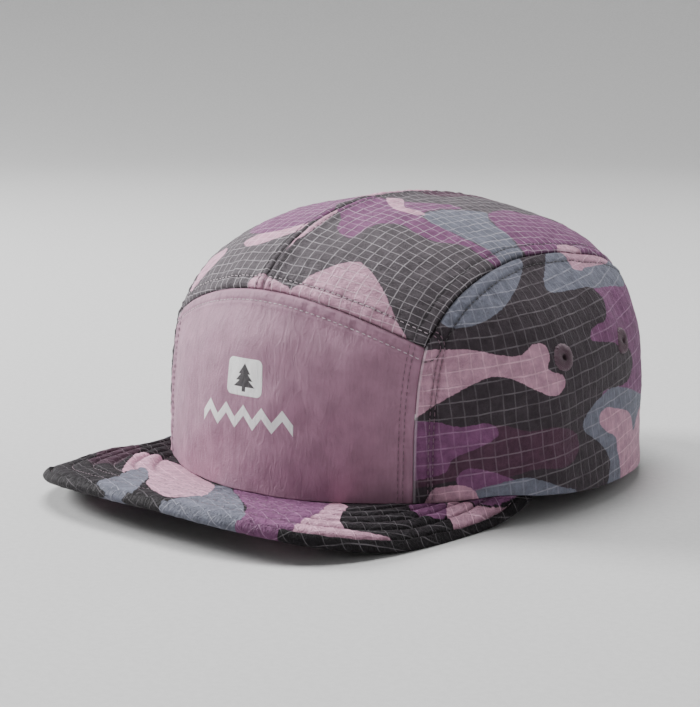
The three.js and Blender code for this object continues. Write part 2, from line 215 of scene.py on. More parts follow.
@dataclass(frozen=True)
class Around:
    """A value with one size at the crown's front, one at its sides and one at its back."""

    front: float
    side: float
    back: float

    def at(self, angle: np.ndarray) -> np.ndarray:
        """The value at an angle.

        Args:
            angle: The angle round the crown, 0 at the front.

        Returns:
            The value there.
        """
        mean = (self.front + 2 * self.side + self.back) / 4
        front_to_back = (self.front - self.back) / 2
        ends_to_sides = (self.front + self.back - 2 * self.side) / 4
        return mean + front_to_back * np.cos(angle) + ends_to_sides * np.cos(2 * angle)


@dataclass(frozen=True)
class HemWave:
    """A low wave along the hem: its place and spread in degrees, and its share of the waves' lift."""

    angle: float
    spread: float
    lift: float


@dataclass(frozen=True)
class Fold:
    """A soft fold: its angle, share of the height, half sizes as shares, lean and share of the depth."""

    angle: float
    rise: float
    along: float
    up: float
    lean: float
    out: float


@dataclass(frozen=True)
class Crown:
    """The form of the crown in millimetres, in the part's own formulas."""

    half_width: float = 91
    front_reach: float = 75.8
    back_reach: float = 111.6
    height: float = 108.8
    set_back: float = 6.5
    wall: float = 1.5
    rounding: float = 0.12
    lift: Around = Around(7.2, 8.2, -0.8)
    taper: Around = Around(1.94, 1.45, 1.8)
    fullness: Around = Around(4.9, 4.05, 5.25)
    front_squareness: float = 1.86
    back_squareness: float = 2.1
    wave_lift: float = 1.5
    waves: tuple[HemWave, ...] = (
        HemWave(18, 14, -0.25),
        HemWave(66, 9, 1),
        HemWave(101, 15, -0.75),
        HemWave(135, 12, 0.3),
    )
    fold_reach: float = 20
    fold_depth: float = 1.6
    folds: tuple[Fold, ...] = (
        Fold(107, 0.62, 0.35, 1, 6, 0.6),
        Fold(116, 0.6, 0.4, 1.1, 6, -0.5),
        Fold(98, 0.3, 1.2, 0.7, -20, -0.6),
        Fold(62, 0.36, 0.7, 1, 10, 0.45),
        Fold(84, 0.78, 1.1, 0.4, 0, -0.6),
        Fold(22, 0.62, 0.8, 0.35, 12, -0.5),
        Fold(30, 0.36, 0.7, 1.1, 0, 0.35),
        Fold(150, 0.55, 1, 0.8, 0, -0.5),
    )
    ridge_width: float = 6
    ridge_height: float = 0.7
    panel_half_width: float = 62
    brow_height: float = 79.8
    corner_height: float = 63.2
    arch_half_width: float = 36
    arch_height: float = 41
    arch_seam_height: float = 24
    ridge_seam: Outline = (
        (0.42, -0.3),
        (0.404, -0.17),
        (0.391, 0),
        (0.366, 0.18),
        (0.318, 0.34),
        (0.29, 0.5),
        (0.274, 0.66),
    )

    def plan(self, angle: np.ndarray) -> tuple[np.ndarray, np.ndarray]:
        """The hem in plan.

        Args:
            angle: The angle round the crown, 0 at the front.

        Returns:
            Its distances across and back.
        """
        in_front = np.cos(angle) > 0
        power = 2 / np.where(in_front, self.front_squareness, self.back_squareness)
        reach = np.where(in_front, self.front_reach, self.back_reach)
        across = self.half_width * signed_power(np.sin(angle), power)
        return across, -reach * signed_power(np.cos(angle), power)

    def wave(self, angle: np.ndarray) -> np.ndarray:
        """The lift of the hem's waves at an angle."""
        degrees = np.abs(np.degrees(angle))
        return self.wave_lift * sum(row.lift * bell((degrees - row.angle) / row.spread) for row in self.waves)

    def hem_height(self, angle: np.ndarray) -> np.ndarray:
        """The height of the hem at an angle."""
        return self.lift.at(angle) + self.wave(angle)

    def section(self, rise: np.ndarray, angle: np.ndarray) -> np.ndarray:
        """How far out the crown stands.

        Args:
            rise: The share of its height.
            angle: The angle round the crown, 0 at the front.

        Returns:
            The share of the hem's reach.
        """
        taper = self.taper.at(angle)
        left = 1 - np.maximum(rise, 0) ** self.fullness.at(angle)
        blunt = self.rounding**taper
        whole = (1 + self.rounding**2) ** (taper / 2) - blunt
        return np.sqrt(np.maximum((left * whole + blunt) ** (2 / taper) - self.rounding**2, 0))

    @staticmethod
    def rise_of(out: np.ndarray, back: np.ndarray) -> np.ndarray:
        """The share of the crown's height at a place on the unit disc."""
        return np.sin(np.pi / 2 * (1 - np.hypot(out, back)))

    def smooth(self, out: np.ndarray, back: np.ndarray) -> np.ndarray:
        """The crown over the unit disc, without its folds.

        Args:
            out: First coordinate on the unit disc.
            back: Second coordinate on the unit disc.

        Returns:
            The points in millimetres.
        """
        angle = np.arctan2(out, -back)
        rise = self.rise_of(out, back)
        reach = self.section(rise, angle)
        across, along = self.plan(angle)
        high = np.maximum(rise, 0)
        wave = self.wave(angle) * (1 - high) ** 2
        height = lerp(self.lift.at(angle), self.height, rise) + wave
        return np.stack([across * reach, along * reach + self.set_back * high**2, height], -1)

    def outward(self, out: np.ndarray, back: np.ndarray, step: float = 0.004) -> np.ndarray:
        """The direction out of the cloth.

        Args:
            out: First coordinate on the unit disc.
            back: Second coordinate on the unit disc.
            step: Half of the distance on the disc between the points that are compared.

        Returns:
            The directions, with a length of one.
        """
        along = self.smooth(out + step, back) - self.smooth(out - step, back)
        across = self.smooth(out, back + step) - self.smooth(out, back - step)
        return unit(np.cross(along, across))

    def fold_offset(self, out: np.ndarray, back: np.ndarray, point: np.ndarray) -> np.ndarray:
        """How far the folds move the cloth out.

        Args:
            out: First coordinate on the unit disc.
            back: Second coordinate on the unit disc.
            point: The smooth crown there.

        Returns:
            The offset in millimetres.
        """
        degrees = np.abs(np.degrees(np.arctan2(out, -back)))
        rise = self.rise_of(out, back)
        reach = np.hypot(point[..., 0], point[..., 1])
        offset = np.zeros_like(reach)
        for fold in self.folds:
            along = np.radians(degrees - fold.angle) * reach
            up = (rise - fold.rise) * self.height
            lean = math.radians(fold.lean)
            across = along * math.cos(lean) - up * math.sin(lean)
            length = along * math.sin(lean) + up * math.cos(lean)
            narrow = bell(across / (fold.along * self.fold_reach))
            offset += fold.out * narrow * bell(length / (fold.up * self.fold_reach))
        return offset * self.fold_depth

    def point(self, out: np.ndarray, back: np.ndarray, depth: float = 0) -> np.ndarray:
        """The outside of the cloth with its folds.

        Args:
            out: First coordinate on the unit disc.
            back: Second coordinate on the unit disc.
            depth: How far in from the outside.

        Returns:
            The points in millimetres.
        """
        point = self.smooth(out, back)
        over_brow = smoothstep(point[..., 2], self.brow_height, self.brow_height + self.ridge_width)
        ridge = self.ridge_height * bell(point[..., 0] / self.ridge_width) * over_brow
        offset = self.fold_offset(out, back, point) + ridge - depth
        return point + self.outward(out, back) * offset[..., None]

    def place_at(self, across: np.ndarray, height: np.ndarray, in_front: bool) -> np.ndarray:
        """The place on the unit disc of a crown point.

        Args:
            across: Its sideways distance.
            height: Its height.
            in_front: True on the front half of the crown.

        Returns:
            Its two disc coordinates.
        """
        angle = np.full(np.broadcast(across, height).shape, 0.0 if in_front else np.pi)
        rise = np.zeros_like(angle)
        power = (self.front_squareness if in_front else self.back_squareness) / 2
        for _ in range(16):
            low = self.lift.at(angle)
            rise = np.clip((height - low) / (self.height - low), 0, 1)
            share = np.minimum(across / (self.half_width * self.section(rise, angle)), 1)
            from_middle = np.arcsin(share**power)
            angle = from_middle if in_front else np.pi - from_middle
        radius = 1 - 2 / np.pi * np.arcsin(rise)
        return np.stack([radius * np.sin(angle), -radius * np.cos(angle)], -1)

    @staticmethod
    def on_hem(angle: np.ndarray) -> np.ndarray:
        """The disc place of the hem at an angle."""
        return np.stack([np.sin(angle), -np.cos(angle)], -1)

    def foot(self, across: float, height: float, in_front: bool) -> float:
        """The angle at which a seam meets the hem."""
        place = self.place_at(np.array(across), np.array(height), in_front)
        return float(np.arctan2(place[0], -place[1]))

    @property
    def front_foot(self) -> float:
        """The angle of the front seam's foot."""
        return self.foot(self.panel_half_width, self.lift.side, True)

    @property
    def arch_foot(self) -> float:
        """The angle of the arch's foot."""
        return self.foot(self.arch_half_width, self.lift.back, False)

    def front_seam(self, share: np.ndarray) -> np.ndarray:
        """The seam between the front and side panels, from the hem up.

        Args:
            share: The share of the seam's length.

        Returns:
            The place on the unit disc.
        """
        low = self.lift.at(self.front_foot)
        height = lerp(low, self.corner_height, share)
        place = self.place_at(np.full(share.shape, self.panel_half_width), height, True)
        return np.where((share == 0)[..., None], self.on_hem(np.array(self.front_foot)), place)

    def brow_seam(self, share: np.ndarray) -> np.ndarray:
        """The seam over the front panel, from the middle out."""
        height = self.brow_height - (self.brow_height - self.corner_height) * share * share
        return self.place_at(self.panel_half_width * share, height, True)

    def whole_brow(self, share: np.ndarray) -> np.ndarray:
        """The seam over the front panel, from the wearer's right to the left."""
        turn = 2 * share - 1
        return self.brow_seam(np.abs(turn)) * np.stack([np.where(turn < 0, -1, 1), np.ones_like(turn)], -1)

    def arch(self, share: np.ndarray) -> np.ndarray:
        """The edge of the back arch, from the hem to its middle.

        Args:
            share: The share of the seam's length.

        Returns:
            The place on the unit disc.
        """
        turn = np.pi / 2 * (1 - share)
        place = self.place_at(self.arch_half_width * np.sin(turn), self.arch_height * np.cos(turn), False)
        return np.where((share == 0)[..., None], self.on_hem(np.array(self.arch_foot)), place)

    @property
    def junction(self) -> float:
        """The share of the arch's edge at which the side and top panels meet."""
        return 2 / math.pi * math.asin(self.arch_seam_height / self.arch_height)

    def arch_low(self, share: np.ndarray) -> np.ndarray:
        """The side panel's part of the arch."""
        return self.arch(share * self.junction)

    def arch_high(self, share: np.ndarray) -> np.ndarray:
        """The top panel's part of the arch."""
        return self.arch(lerp(self.junction, 1, share))

    def ridge(self) -> Curve:
        """The seam between the side and top panels, from the front corner to the arch.

        Returns:
            A function from a share of the seam's length to its place on the disc.
        """
        knots = np.array([self.front_seam(np.array(1.0)), *self.ridge_seam, self.arch_low(np.array(1.0))])
        last = len(knots) - 1
        turns = np.linspace(0, last, 801)
        first = np.minimum(turns.astype(int), last - 1)
        before = knots[np.maximum(first - 1, 0)]
        after = knots[np.minimum(first + 2, last)]
        route = spline(before, knots[first], knots[first + 1], after, (turns - first)[:, None])
        length = run_length(route)
        length /= length[-1]

        def at(share: np.ndarray) -> np.ndarray:
            """The seam's place at a share of its length."""
            across = np.interp(share, length, route[:, 0])
            return np.stack([across, np.interp(share, length, route[:, 1])], -1)

        return at

    def centre_seam(self, share: np.ndarray) -> np.ndarray:
        """The seam along the middle of the top, from the brow to the arch.

        Args:
            share: The share of the seam's length.

        Returns:
            The place on the unit disc.
        """
        start = self.brow_seam(np.array(0.0))[1]
        end = self.arch_high(np.array(1.0))[1]
        return np.stack([0 * share, lerp(start, end, share)], -1)

    def hem_between(self, start: float, end: float) -> Curve:
        """The hem between two angles."""
        return lambda share: self.on_hem(lerp(start, end, share))


def patch(low: Curve, high: Curve, start: Curve, end: Curve) -> Place:
    """A patch between four edges of the unit disc.

    Args:
        low: The lower edge, along the patch.
        high: The upper edge, along the patch.
        start: The edge up the patch where it starts.
        end: The edge up the patch where it ends.

    Returns:
        A function from shares along and up to a place on the disc.
    """
    nought = np.array(0.0)
    one = np.array(1.0)

    def at(along: np.ndarray, up: np.ndarray) -> np.ndarray:
        """The place in the patch.

        Args:
            along: The share along it.
            up: The share up it.

        Returns:
            The place on the disc.
        """
        a = along[..., None]
        b = up[..., None]
        place = low(along) * (1 - b) + high(along) * b + start(up) * (1 - a) + end(up) * a
        place = place - low(nought) * (1 - a) * (1 - b) - low(one) * a * (1 - b)
        return place - high(nought) * (1 - a) * b - high(one) * a * b

    return at


@dataclass(frozen=True)
class Blob:
    """One printed patch of the camouflage: its colour and its outline in fabric millimetres."""

    shade: Shade
    outline: Outline

    def smooth_outline(self, steps: int = 6) -> np.ndarray:
        """The closed outline, rounded through its points.

        Args:
            steps: How many points it gets for each of its own.

        Returns:
            The rounded outline's points.
        """
        knots = np.array(self.outline, float)
        before, end, after = (np.roll(knots, turn, 0) for turn in (1, -1, -2))
        rows = [spline(before, knots, end, after, step / steps) for step in range(steps)]
        return np.stack(rows, 1).reshape(-1, 2)

    def depth(self, fabric: np.ndarray) -> np.ndarray:
        """How deep inside the patch each fabric point lies, negative outside.

        Args:
            fabric: Points in fabric millimetres, one row each.

        Returns:
            The signed distance to the outline, in millimetres.
        """
        outline = self.smooth_outline()
        depth = np.full(len(fabric), np.inf)
        inside = np.zeros(len(fabric), bool)
        for start, end in zip(outline, np.roll(outline, -1, 0)):
            way = end - start
            off = fabric - start
            share = np.clip(off @ way / (way @ way), 0, 1)
            depth = np.minimum(depth, np.hypot(*(off - share[:, None] * way).T))
            crosses = (start[1] > fabric[:, 1]) != (end[1] > fabric[:, 1])
            rise = way[1] if way[1] else 1e-9
            inside ^= crosses & (fabric[:, 0] < start[0] + (fabric[:, 1] - start[1]) * way[0] / rise)
        return np.where(inside, depth, -depth)


def turned(blobs: tuple[Blob, ...], across: float, up: float) -> tuple[Blob, ...]:
    """The same print on a panel cut with the cloth turned half round.

    Args:
        blobs: The print to turn.
        across: Twice the turning point's place across the cloth.
        up: Twice its place up the cloth.

    Returns:
        The turned patches.
    """
    return tuple(Blob(blob.shade, tuple((across - u, up - v) for u, v in blob.outline)) for blob in blobs)


def printed(blobs: tuple[Blob, ...], fabric: np.ndarray) -> dict[str, np.ndarray]:
    """How deep each point lies inside the patches of each colour.

    Args:
        blobs: The print.
        fabric: Points in fabric millimetres, one row each.

    Returns:
        The depths by the name of the colour's field.
    """
    fields = {}
    for shade in Shade:
        depths = [blob.depth(fabric) for blob in blobs if blob.shade is shade]
        fields[shade.value] = np.max([np.full(len(fabric), OUTSIDE), *depths], axis=0)
    return fields


SIDE_PRINT = (
    Blob(Shade.PLUM, (
        (-74, -19), (-62, -17), (-50, -20), (-38, -20), (-27, -24), (-26, -31), (-34, -35),
        (-48, -34), (-60, -36), (-76, -36), (-88, -38), (-96, -38), (-96, -24), (-86, -22),
    )),
    Blob(Shade.PURPLE, (
        (-96, -17), (-86, -15), (-76, -17), (-66, -16), (-62, -20), (-68, -24), (-78, -28),
        (-81, -33), (-88, -35), (-97, -35),
    )),
    Blob(Shade.PURPLE, (
        (-58, -36), (-66, -33), (-74, -32), (-77, -37), (-70, -40), (-56, -38),
    )),
    Blob(Shade.PURPLE, (
        (5, 29), (6, 22), (3.4, 17.5), (0, 14), (-5, 13.2), (-9.5, 12.2), (-12.4, 10), (-12, 8),
        (-7, 6.8), (3, 5), (8, 3), (18, 1), (22, -2), (23, -6), (19.5, -9.5), (11, -12), (-6, -11.5),
        (-6, -14), (14, -17), (34, -23), (50, -18), (56, -2), (52, 14), (40, 30),
    )),
    Blob(Shade.GREY, (
        (-83, 24), (-81, 19), (-77, 18), (-71, 18.4), (-64, 20.5), (-55.4, 24.8), (-45.8, 31.6),
        (-34.4, 39.6), (-28, 44.5), (-27, 54), (-56, 48), (-74, 34),
    )),
    Blob(Shade.GREY, (
        (-8, 46), (-15, 41), (-22.9, 35.2), (-26, 31), (-24, 28.9), (-18.9, 28.7), (-12, 28.4),
        (-1.6, 27.8), (4, 26.5), (14.6, 26), (26, 24.4), (43, 21.8), (60, 26), (66, 40), (30, 54),
        (4, 52),
    )),
    Blob(Shade.GREY, (
        (-7, -12.5), (-15.6, -15.6), (-21.5, -19.5), (-22.4, -22.5), (-19.8, -25.3), (-12, -29.8),
        (-5.7, -35.9), (-4.2, -40), (-5, -52), (20, -54), (50, -52), (52, -34), (46, -22), (34, -20),
        (16, -14.5), (2, -11.5),
    )),
    Blob(Shade.GREY, (
        (-71, -41), (-62, -38), (-52, -36.5), (-46, -38), (-36, -42), (-28, -45), (-30, -52),
        (-70, -52),
    )),
    Blob(Shade.PINK, (
        (-97, 8), (-87.5, 10), (-72, 10), (-59, 7.3), (-53, 6.9), (-49.6, 8.4), (-46.9, 10.3),
        (-43.3, 10.7), (-40, 9), (-39.6, 5), (-41.4, 1.6), (-39, -0.1), (-34.4, -1.8), (-33.5, -5.4),
        (-37.5, -8.4), (-42, -8), (-48.2, -5.3), (-56.3, -1.2), (-64.2, 0.2), (-72.8, -2.8),
        (-83.8, -8.6), (-97, -15),
    )),
    Blob(Shade.PINK, (
        (-11, -21), (-10, -19), (-5, -18), (1, -19.3), (11.5, -22), (17, -25.6), (19, -30.5),
        (22.5, -31), (26, -27.6), (44, -27), (50, -38), (44, -54), (10, -52), (5.2, -43.2),
        (2.4, -36.3), (0, -30), (-5.6, -27.2), (-10.5, -23.8),
    )),
    Blob(Shade.PINK, (
        (4, 50), (3.6, 43), (2, 39), (0.6, 36.4), (5.5, 35), (14, 36), (36, 33), (52, 34), (50, 44),
        (24, 54),
    )),
    Blob(Shade.PINK, (
        (-86, -40), (-80, -38), (-74, -38), (-70, -41), (-68, -50), (-88, -50),
    )),
    Blob(Shade.PLUM, (
        (56, 14), (64, 22), (76, 22), (82, 12), (92, 8), (96, -4), (86, -12), (76, -8), (66, -12),
        (58, -4),
    )),
    Blob(Shade.PINK, (
        (62, 38), (70, 30), (80, 30), (86, 22), (98, 20), (102, 34), (88, 46), (68, 50),
    )),
    Blob(Shade.GREY, (
        (60, -30), (70, -24), (76, -28), (86, -24), (96, -26), (104, -34), (96, -50), (70, -52),
    )),
)

TOP_PRINT = (
    Blob(Shade.PURPLE, (
        (66, -2), (66.5, 3), (71, 8), (77, 11), (80, 16), (80.5, 20.3), (75.2, 21), (69, 22),
        (64.7, 25.3), (61.8, 30), (62.9, 37.5), (61, 45.5), (54, 53), (53, 61), (50, 70), (44, 66),
        (46.5, 57.5), (48.3, 50.6), (49.5, 42), (51, 34), (48.5, 28), (36, 26), (24, 28), (28, 21),
        (40, 14), (44, 8), (48, -2),
    )),
    Blob(Shade.PURPLE, (
        (21, 40), (18, 36), (10, 32.5), (-2, 29.5), (-12, 33), (-24, 30), (-38, 34), (-50, 44),
        (-56, 60), (-40, 72), (-16, 66), (-11, 59), (-4, 60), (4, 64), (14, 70), (26, 68), (27, 61),
        (25, 56), (25.4, 51), (23, 44),
    )),
    Blob(Shade.GREY, (
        (49, 29.5), (44, 27.6), (34.4, 27.2), (25, 30), (16.5, 33.7), (22, 39.8), (24, 45),
        (24.6, 51), (26, 56.3), (29, 64), (34, 72), (46, 70), (45.5, 62), (46, 57), (48, 50),
        (49.4, 42.9), (51, 35),
    )),
    Blob(Shade.PINK, (
        (42, 6), (39, 11), (47, 18.6), (46.5, 24), (47, 28.8), (50, 27), (52, 21), (50.5, 15),
        (46, 9),
    )),
    Blob(Shade.PINK, (
        (95, 0.7), (88, 0.4), (77, 0.3), (66.6, 0.6), (67.2, 2.9), (77, 3.9), (84, 2.8), (90, 1.9),
    )),
    Blob(Shade.PINK, (
        (126, 10), (113, 12), (108, 15.4), (103.3, 18.1), (98.2, 22.6), (94.4, 26.3), (92.2, 28.9),
        (91.2, 32), (92.2, 35.6), (94.9, 40.1), (98.6, 44.7), (103, 49), (111, 55), (120, 60),
        (128, 40),
    )),
    Blob(Shade.PINK, (
        (124, -4), (110, -3), (108, 0), (108.6, 3.5), (110, 9), (112, 12.6), (124, 12),
    )),
    Blob(Shade.PINK, (
        (6, 70), (5.6, 62.5), (-1, 59.2), (-9.5, 58), (-12, 61), (-18, 64), (-30, 62), (-36, 72),
        (-10, 78),
    )),
    Blob(Shade.PLUM, (
        (22, 4), (10, 12), (-4, 10), (-14, 16), (-30, 14), (-34, 4), (-20, -4), (6, -4),
    )),
    Blob(Shade.PINK, (
        (-62, 2), (-56, 12), (-60, 22), (-70, 26), (-74, 36), (-86, 38), (-90, 28), (-82, 20),
        (-84, 8), (-78, -2),
    )),
    Blob(Shade.GREY, (
        (-66, 46), (-76, 48), (-84, 44), (-96, 46), (-104, 40), (-110, 46), (-100, 60), (-76, 66),
    )),
    Blob(Shade.PURPLE, (
        (-96, 4), (-100, 16), (-96, 26), (-108, 30), (-122, 26), (-126, 6),
    )),
)

OTHER_TOP_PRINT = tuple(blob for blob in turned(TOP_PRINT, 10, 74) if min(blob.outline)[0] < 40) + (
    Blob(Shade.PURPLE, (
        (70, 0), (80, 3), (84, 8), (84, 20), (80, 34), (70, 40), (60, 34), (62, 18), (60, 4),
    )),
    Blob(Shade.PINK, (
        (83, 2), (87, 8), (91, 16), (92, 24), (88, 29), (84, 24), (83, 16), (80, 8), (78, 2),
    )),
    Blob(Shade.PINK, (
        (124, -4), (110, -3), (107, 4), (111, 8), (124, 8),
    )),
    Blob(Shade.PINK, (
        (100, 44), (92, 40), (86, 46), (88, 56), (98, 62), (110, 58),
    )),
)

OTHER_SIDE_PRINT = turned(SIDE_PRINT, 8, -6)

BRIM_PRINT = (
    Blob(Shade.PLUM, (
        (-88, -60), (-78, -58), (-70, -62), (-66, -70), (-60, -78), (-54, -88), (-58, -96),
        (-66, -92), (-72, -84), (-80, -76), (-88, -70),
    )),
    Blob(Shade.PINK, (
        (-40, -98), (-52.5, -84.8), (-60, -75), (-65.3, -68), (-61, -64.3), (-54, -64), (-43.7, -65),
        (-33, -69), (-24, -72.5), (-12, -78), (2, -94), (11.5, -105), (13.4, -113), (10, -121),
        (-1.7, -117), (-13.3, -110), (-22, -101), (-32, -92.1), (-42, -84), (-45.5, -84), (-43, -90),
    )),
    Blob(Shade.GREY, (
        (-29, -110), (-36, -101), (-43, -91), (-45.7, -84), (-41.9, -83.9), (-32, -92),
        (-17.7, -107), (-6, -122), (-8, -128), (-24, -124),
    )),
    Blob(Shade.GREY, (
        (13, -121), (13.5, -113), (11, -105), (0, -92), (-11.5, -79), (-9, -74), (0.1, -80),
        (14, -91), (27, -102), (38, -112), (44, -118), (45, -130), (28, -132), (14, -130),
    )),
    Blob(Shade.PURPLE, (
        (-6, -72), (6, -74), (15, -70), (28, -71), (38.5, -69), (45, -78), (50.5, -86), (54, -94.6),
        (58, -102), (63, -108), (64, -118), (60, -130), (44, -132), (39.7, -113), (27, -101.5),
        (12, -89), (0, -80),
    )),
    Blob(Shade.PINK, (
        (57, -103), (54.5, -95), (49.5, -85.5), (41, -75), (37, -66), (44, -68), (50, -73),
        (54, -79.5), (60, -88), (66, -94), (72, -94.6), (76.5, -88), (84, -78), (86, -86),
        (80, -100), (70, -112), (64, -116),
    )),
    Blob(Shade.PINK, (
        (72, -44), (75, -50), (80, -54), (90, -54), (92, -30), (92, -14), (86.4, -14), (85.4, -24),
        (83.4, -32), (80.5, -39), (75, -42),
    )),
    Blob(Shade.PURPLE, (
        (63, -56), (66, -50), (72, -48), (77, -51), (77.5, -58), (71, -62),
    )),
    Blob(Shade.PURPLE, (
        (72, -38), (78, -40), (82, -35), (84, -27), (84.6, -18), (80, -14), (78, -26),
    )),
    Blob(Shade.GREY, (
        (-96, -20), (-86, -24), (-80, -34), (-84, -48), (-98, -44),
    )),
)

UNDER_PRINT = turned(BRIM_PRINT, 0, -176)


class Mesher:
    """Turns grids of points into Blender objects."""

    @staticmethod
    def shell(outer: np.ndarray, inner: np.ndarray, keep: np.ndarray, mirrored: bool,
              welded: bool = False) -> tuple[np.ndarray, np.ndarray, np.ndarray]:
        """A closed skin from an outer and an inner grid.

        Args:
            outer: Grid of outside points, rows by columns by 3.
            inner: Matching grid of inside points.
            keep: Which grid cells stay.
            mirrored: True where the grid was mirrored, which turns its faces round.
            welded: True where the two grids share their first row.

        Returns:
            The points, the four-cornered faces, and which of the two grids' points are used.
        """
        rows, columns = outer.shape[:2]
        count = rows * columns
        index = np.arange(count).reshape(rows, columns)
        corners = [index[:-1, :-1], index[:-1, 1:], index[1:, 1:], index[1:, :-1]]
        front = np.stack(corners, -1)[keep]
        if mirrored:
            front = front[:, ::-1]
        edges = np.concatenate([front[:, [k, (k + 1) % 4]] for k in range(4)])
        forward = edges[:, 0] * count + edges[:, 1]
        backward = edges[:, 1] * count + edges[:, 0]
        rim = edges[~np.isin(forward, backward)]
        if welded:
            rim = rim[~((rim[:, 0] < columns) & (rim[:, 1] < columns))]
        lower = np.arange(count) + count
        if welded:
            lower[:columns] = np.arange(columns)
        back = lower[front[:, ::-1]]
        wall = np.stack([rim[:, 1], rim[:, 0], lower[rim[:, 0]], lower[rim[:, 1]]], -1)
        points = np.concatenate([outer.reshape(-1, 3), inner.reshape(-1, 3)])
        faces = np.concatenate([front, back, wall])
        used, faces = np.unique(faces, return_inverse=True)
        faces = faces.reshape(-1, 4)
        return points[used], faces, used

    @staticmethod
    def tube(profile: np.ndarray, closed: bool) -> np.ndarray:
        """The faces of a closed loop of rings.

        Args:
            profile: Grid of points, rings by points round, of which only the shape is read.
            closed: True where the last ring joins the first.

        Returns:
            The four-cornered faces.
        """
        rings, around = profile.shape[:2]
        index = np.arange(rings * around).reshape(rings, around)
        after = np.roll(index, -1, 0) if closed else index[1:]
        before = index if closed else index[:-1]
        faces = np.stack([before, np.roll(before, -1, 1), np.roll(after, -1, 1), after], -1)
        return faces.reshape(-1, 4)

    @staticmethod
    def bar(profile: np.ndarray) -> np.ndarray:
        """The faces of a row of rings that is closed at both ends.

        Args:
            profile: Grid of points, rings by points round, of which only the shape is read.

        Returns:
            The four-cornered faces.
        """
        rings, around = profile.shape[:2]
        cap = np.array([(k, k + 1, around - 2 - k, around - 1 - k) for k in range(around // 2 - 1)])
        faces = np.concatenate([Mesher.tube(profile, False), cap[:, ::-1], cap + (rings - 1) * around])
        return faces[:, ::-1]

    @staticmethod
    def build(name: str, points: np.ndarray, faces: np.ndarray, material: bpy.types.Material,
              fabric: np.ndarray | None = None,
              fields: dict[str, np.ndarray] | None = None) -> bpy.types.Object:
        """Make a smooth object from four-cornered faces.

        Args:
            name: The object's name.
            points: Its points in millimetres.
            faces: Its faces, four point numbers each.
            material: Its finish.
            fabric: The cloth coordinates of each point in millimetres.
            fields: Values of each point that the finish reads.

        Returns:
            The new object, linked to the scene.
        """
        mesh = bpy.data.meshes.new(name)
        mesh.vertices.add(len(points))
        mesh.vertices.foreach_set("co", (points * MM).astype(np.float32).ravel())
        mesh.loops.add(faces.size)
        mesh.loops.foreach_set("vertex_index", faces.astype(np.int32).ravel())
        mesh.polygons.add(len(faces))
        mesh.polygons.foreach_set("loop_start", np.arange(0, faces.size, 4, dtype=np.int32))
        mesh.polygons.foreach_set("use_smooth", np.ones(len(faces), bool))
        if fabric is not None:
            layer = mesh.uv_layers.new(name="fabric")
            layer.data.foreach_set("uv", fabric[faces.ravel()].astype(np.float32).ravel())
        for key, values in (fields or {}).items():
            attribute = mesh.attributes.new(key, "FLOAT", "POINT")
            attribute.data.foreach_set("value", values.astype(np.float32))
        mesh.update()
        mesh.validate()
        mesh.materials.append(material)
        piece = bpy.data.objects.new(name, mesh)
        bpy.context.scene.collection.objects.link(piece)
        return piece

    @staticmethod
    def settle(piece: bpy.types.Object, slot: str, nodes: Iterable[str] = ()) -> None:
        """Tell the frame what a piece rides on and stands for.

        Args:
            piece: The piece.
            slot: Not used.
            nodes: The nodes that it stands for.
        """
        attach(piece, BODY)
        if nodes:
            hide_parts(*nodes)
        LOG.info("%s: %d faces", piece.name, len(piece.data.polygons))


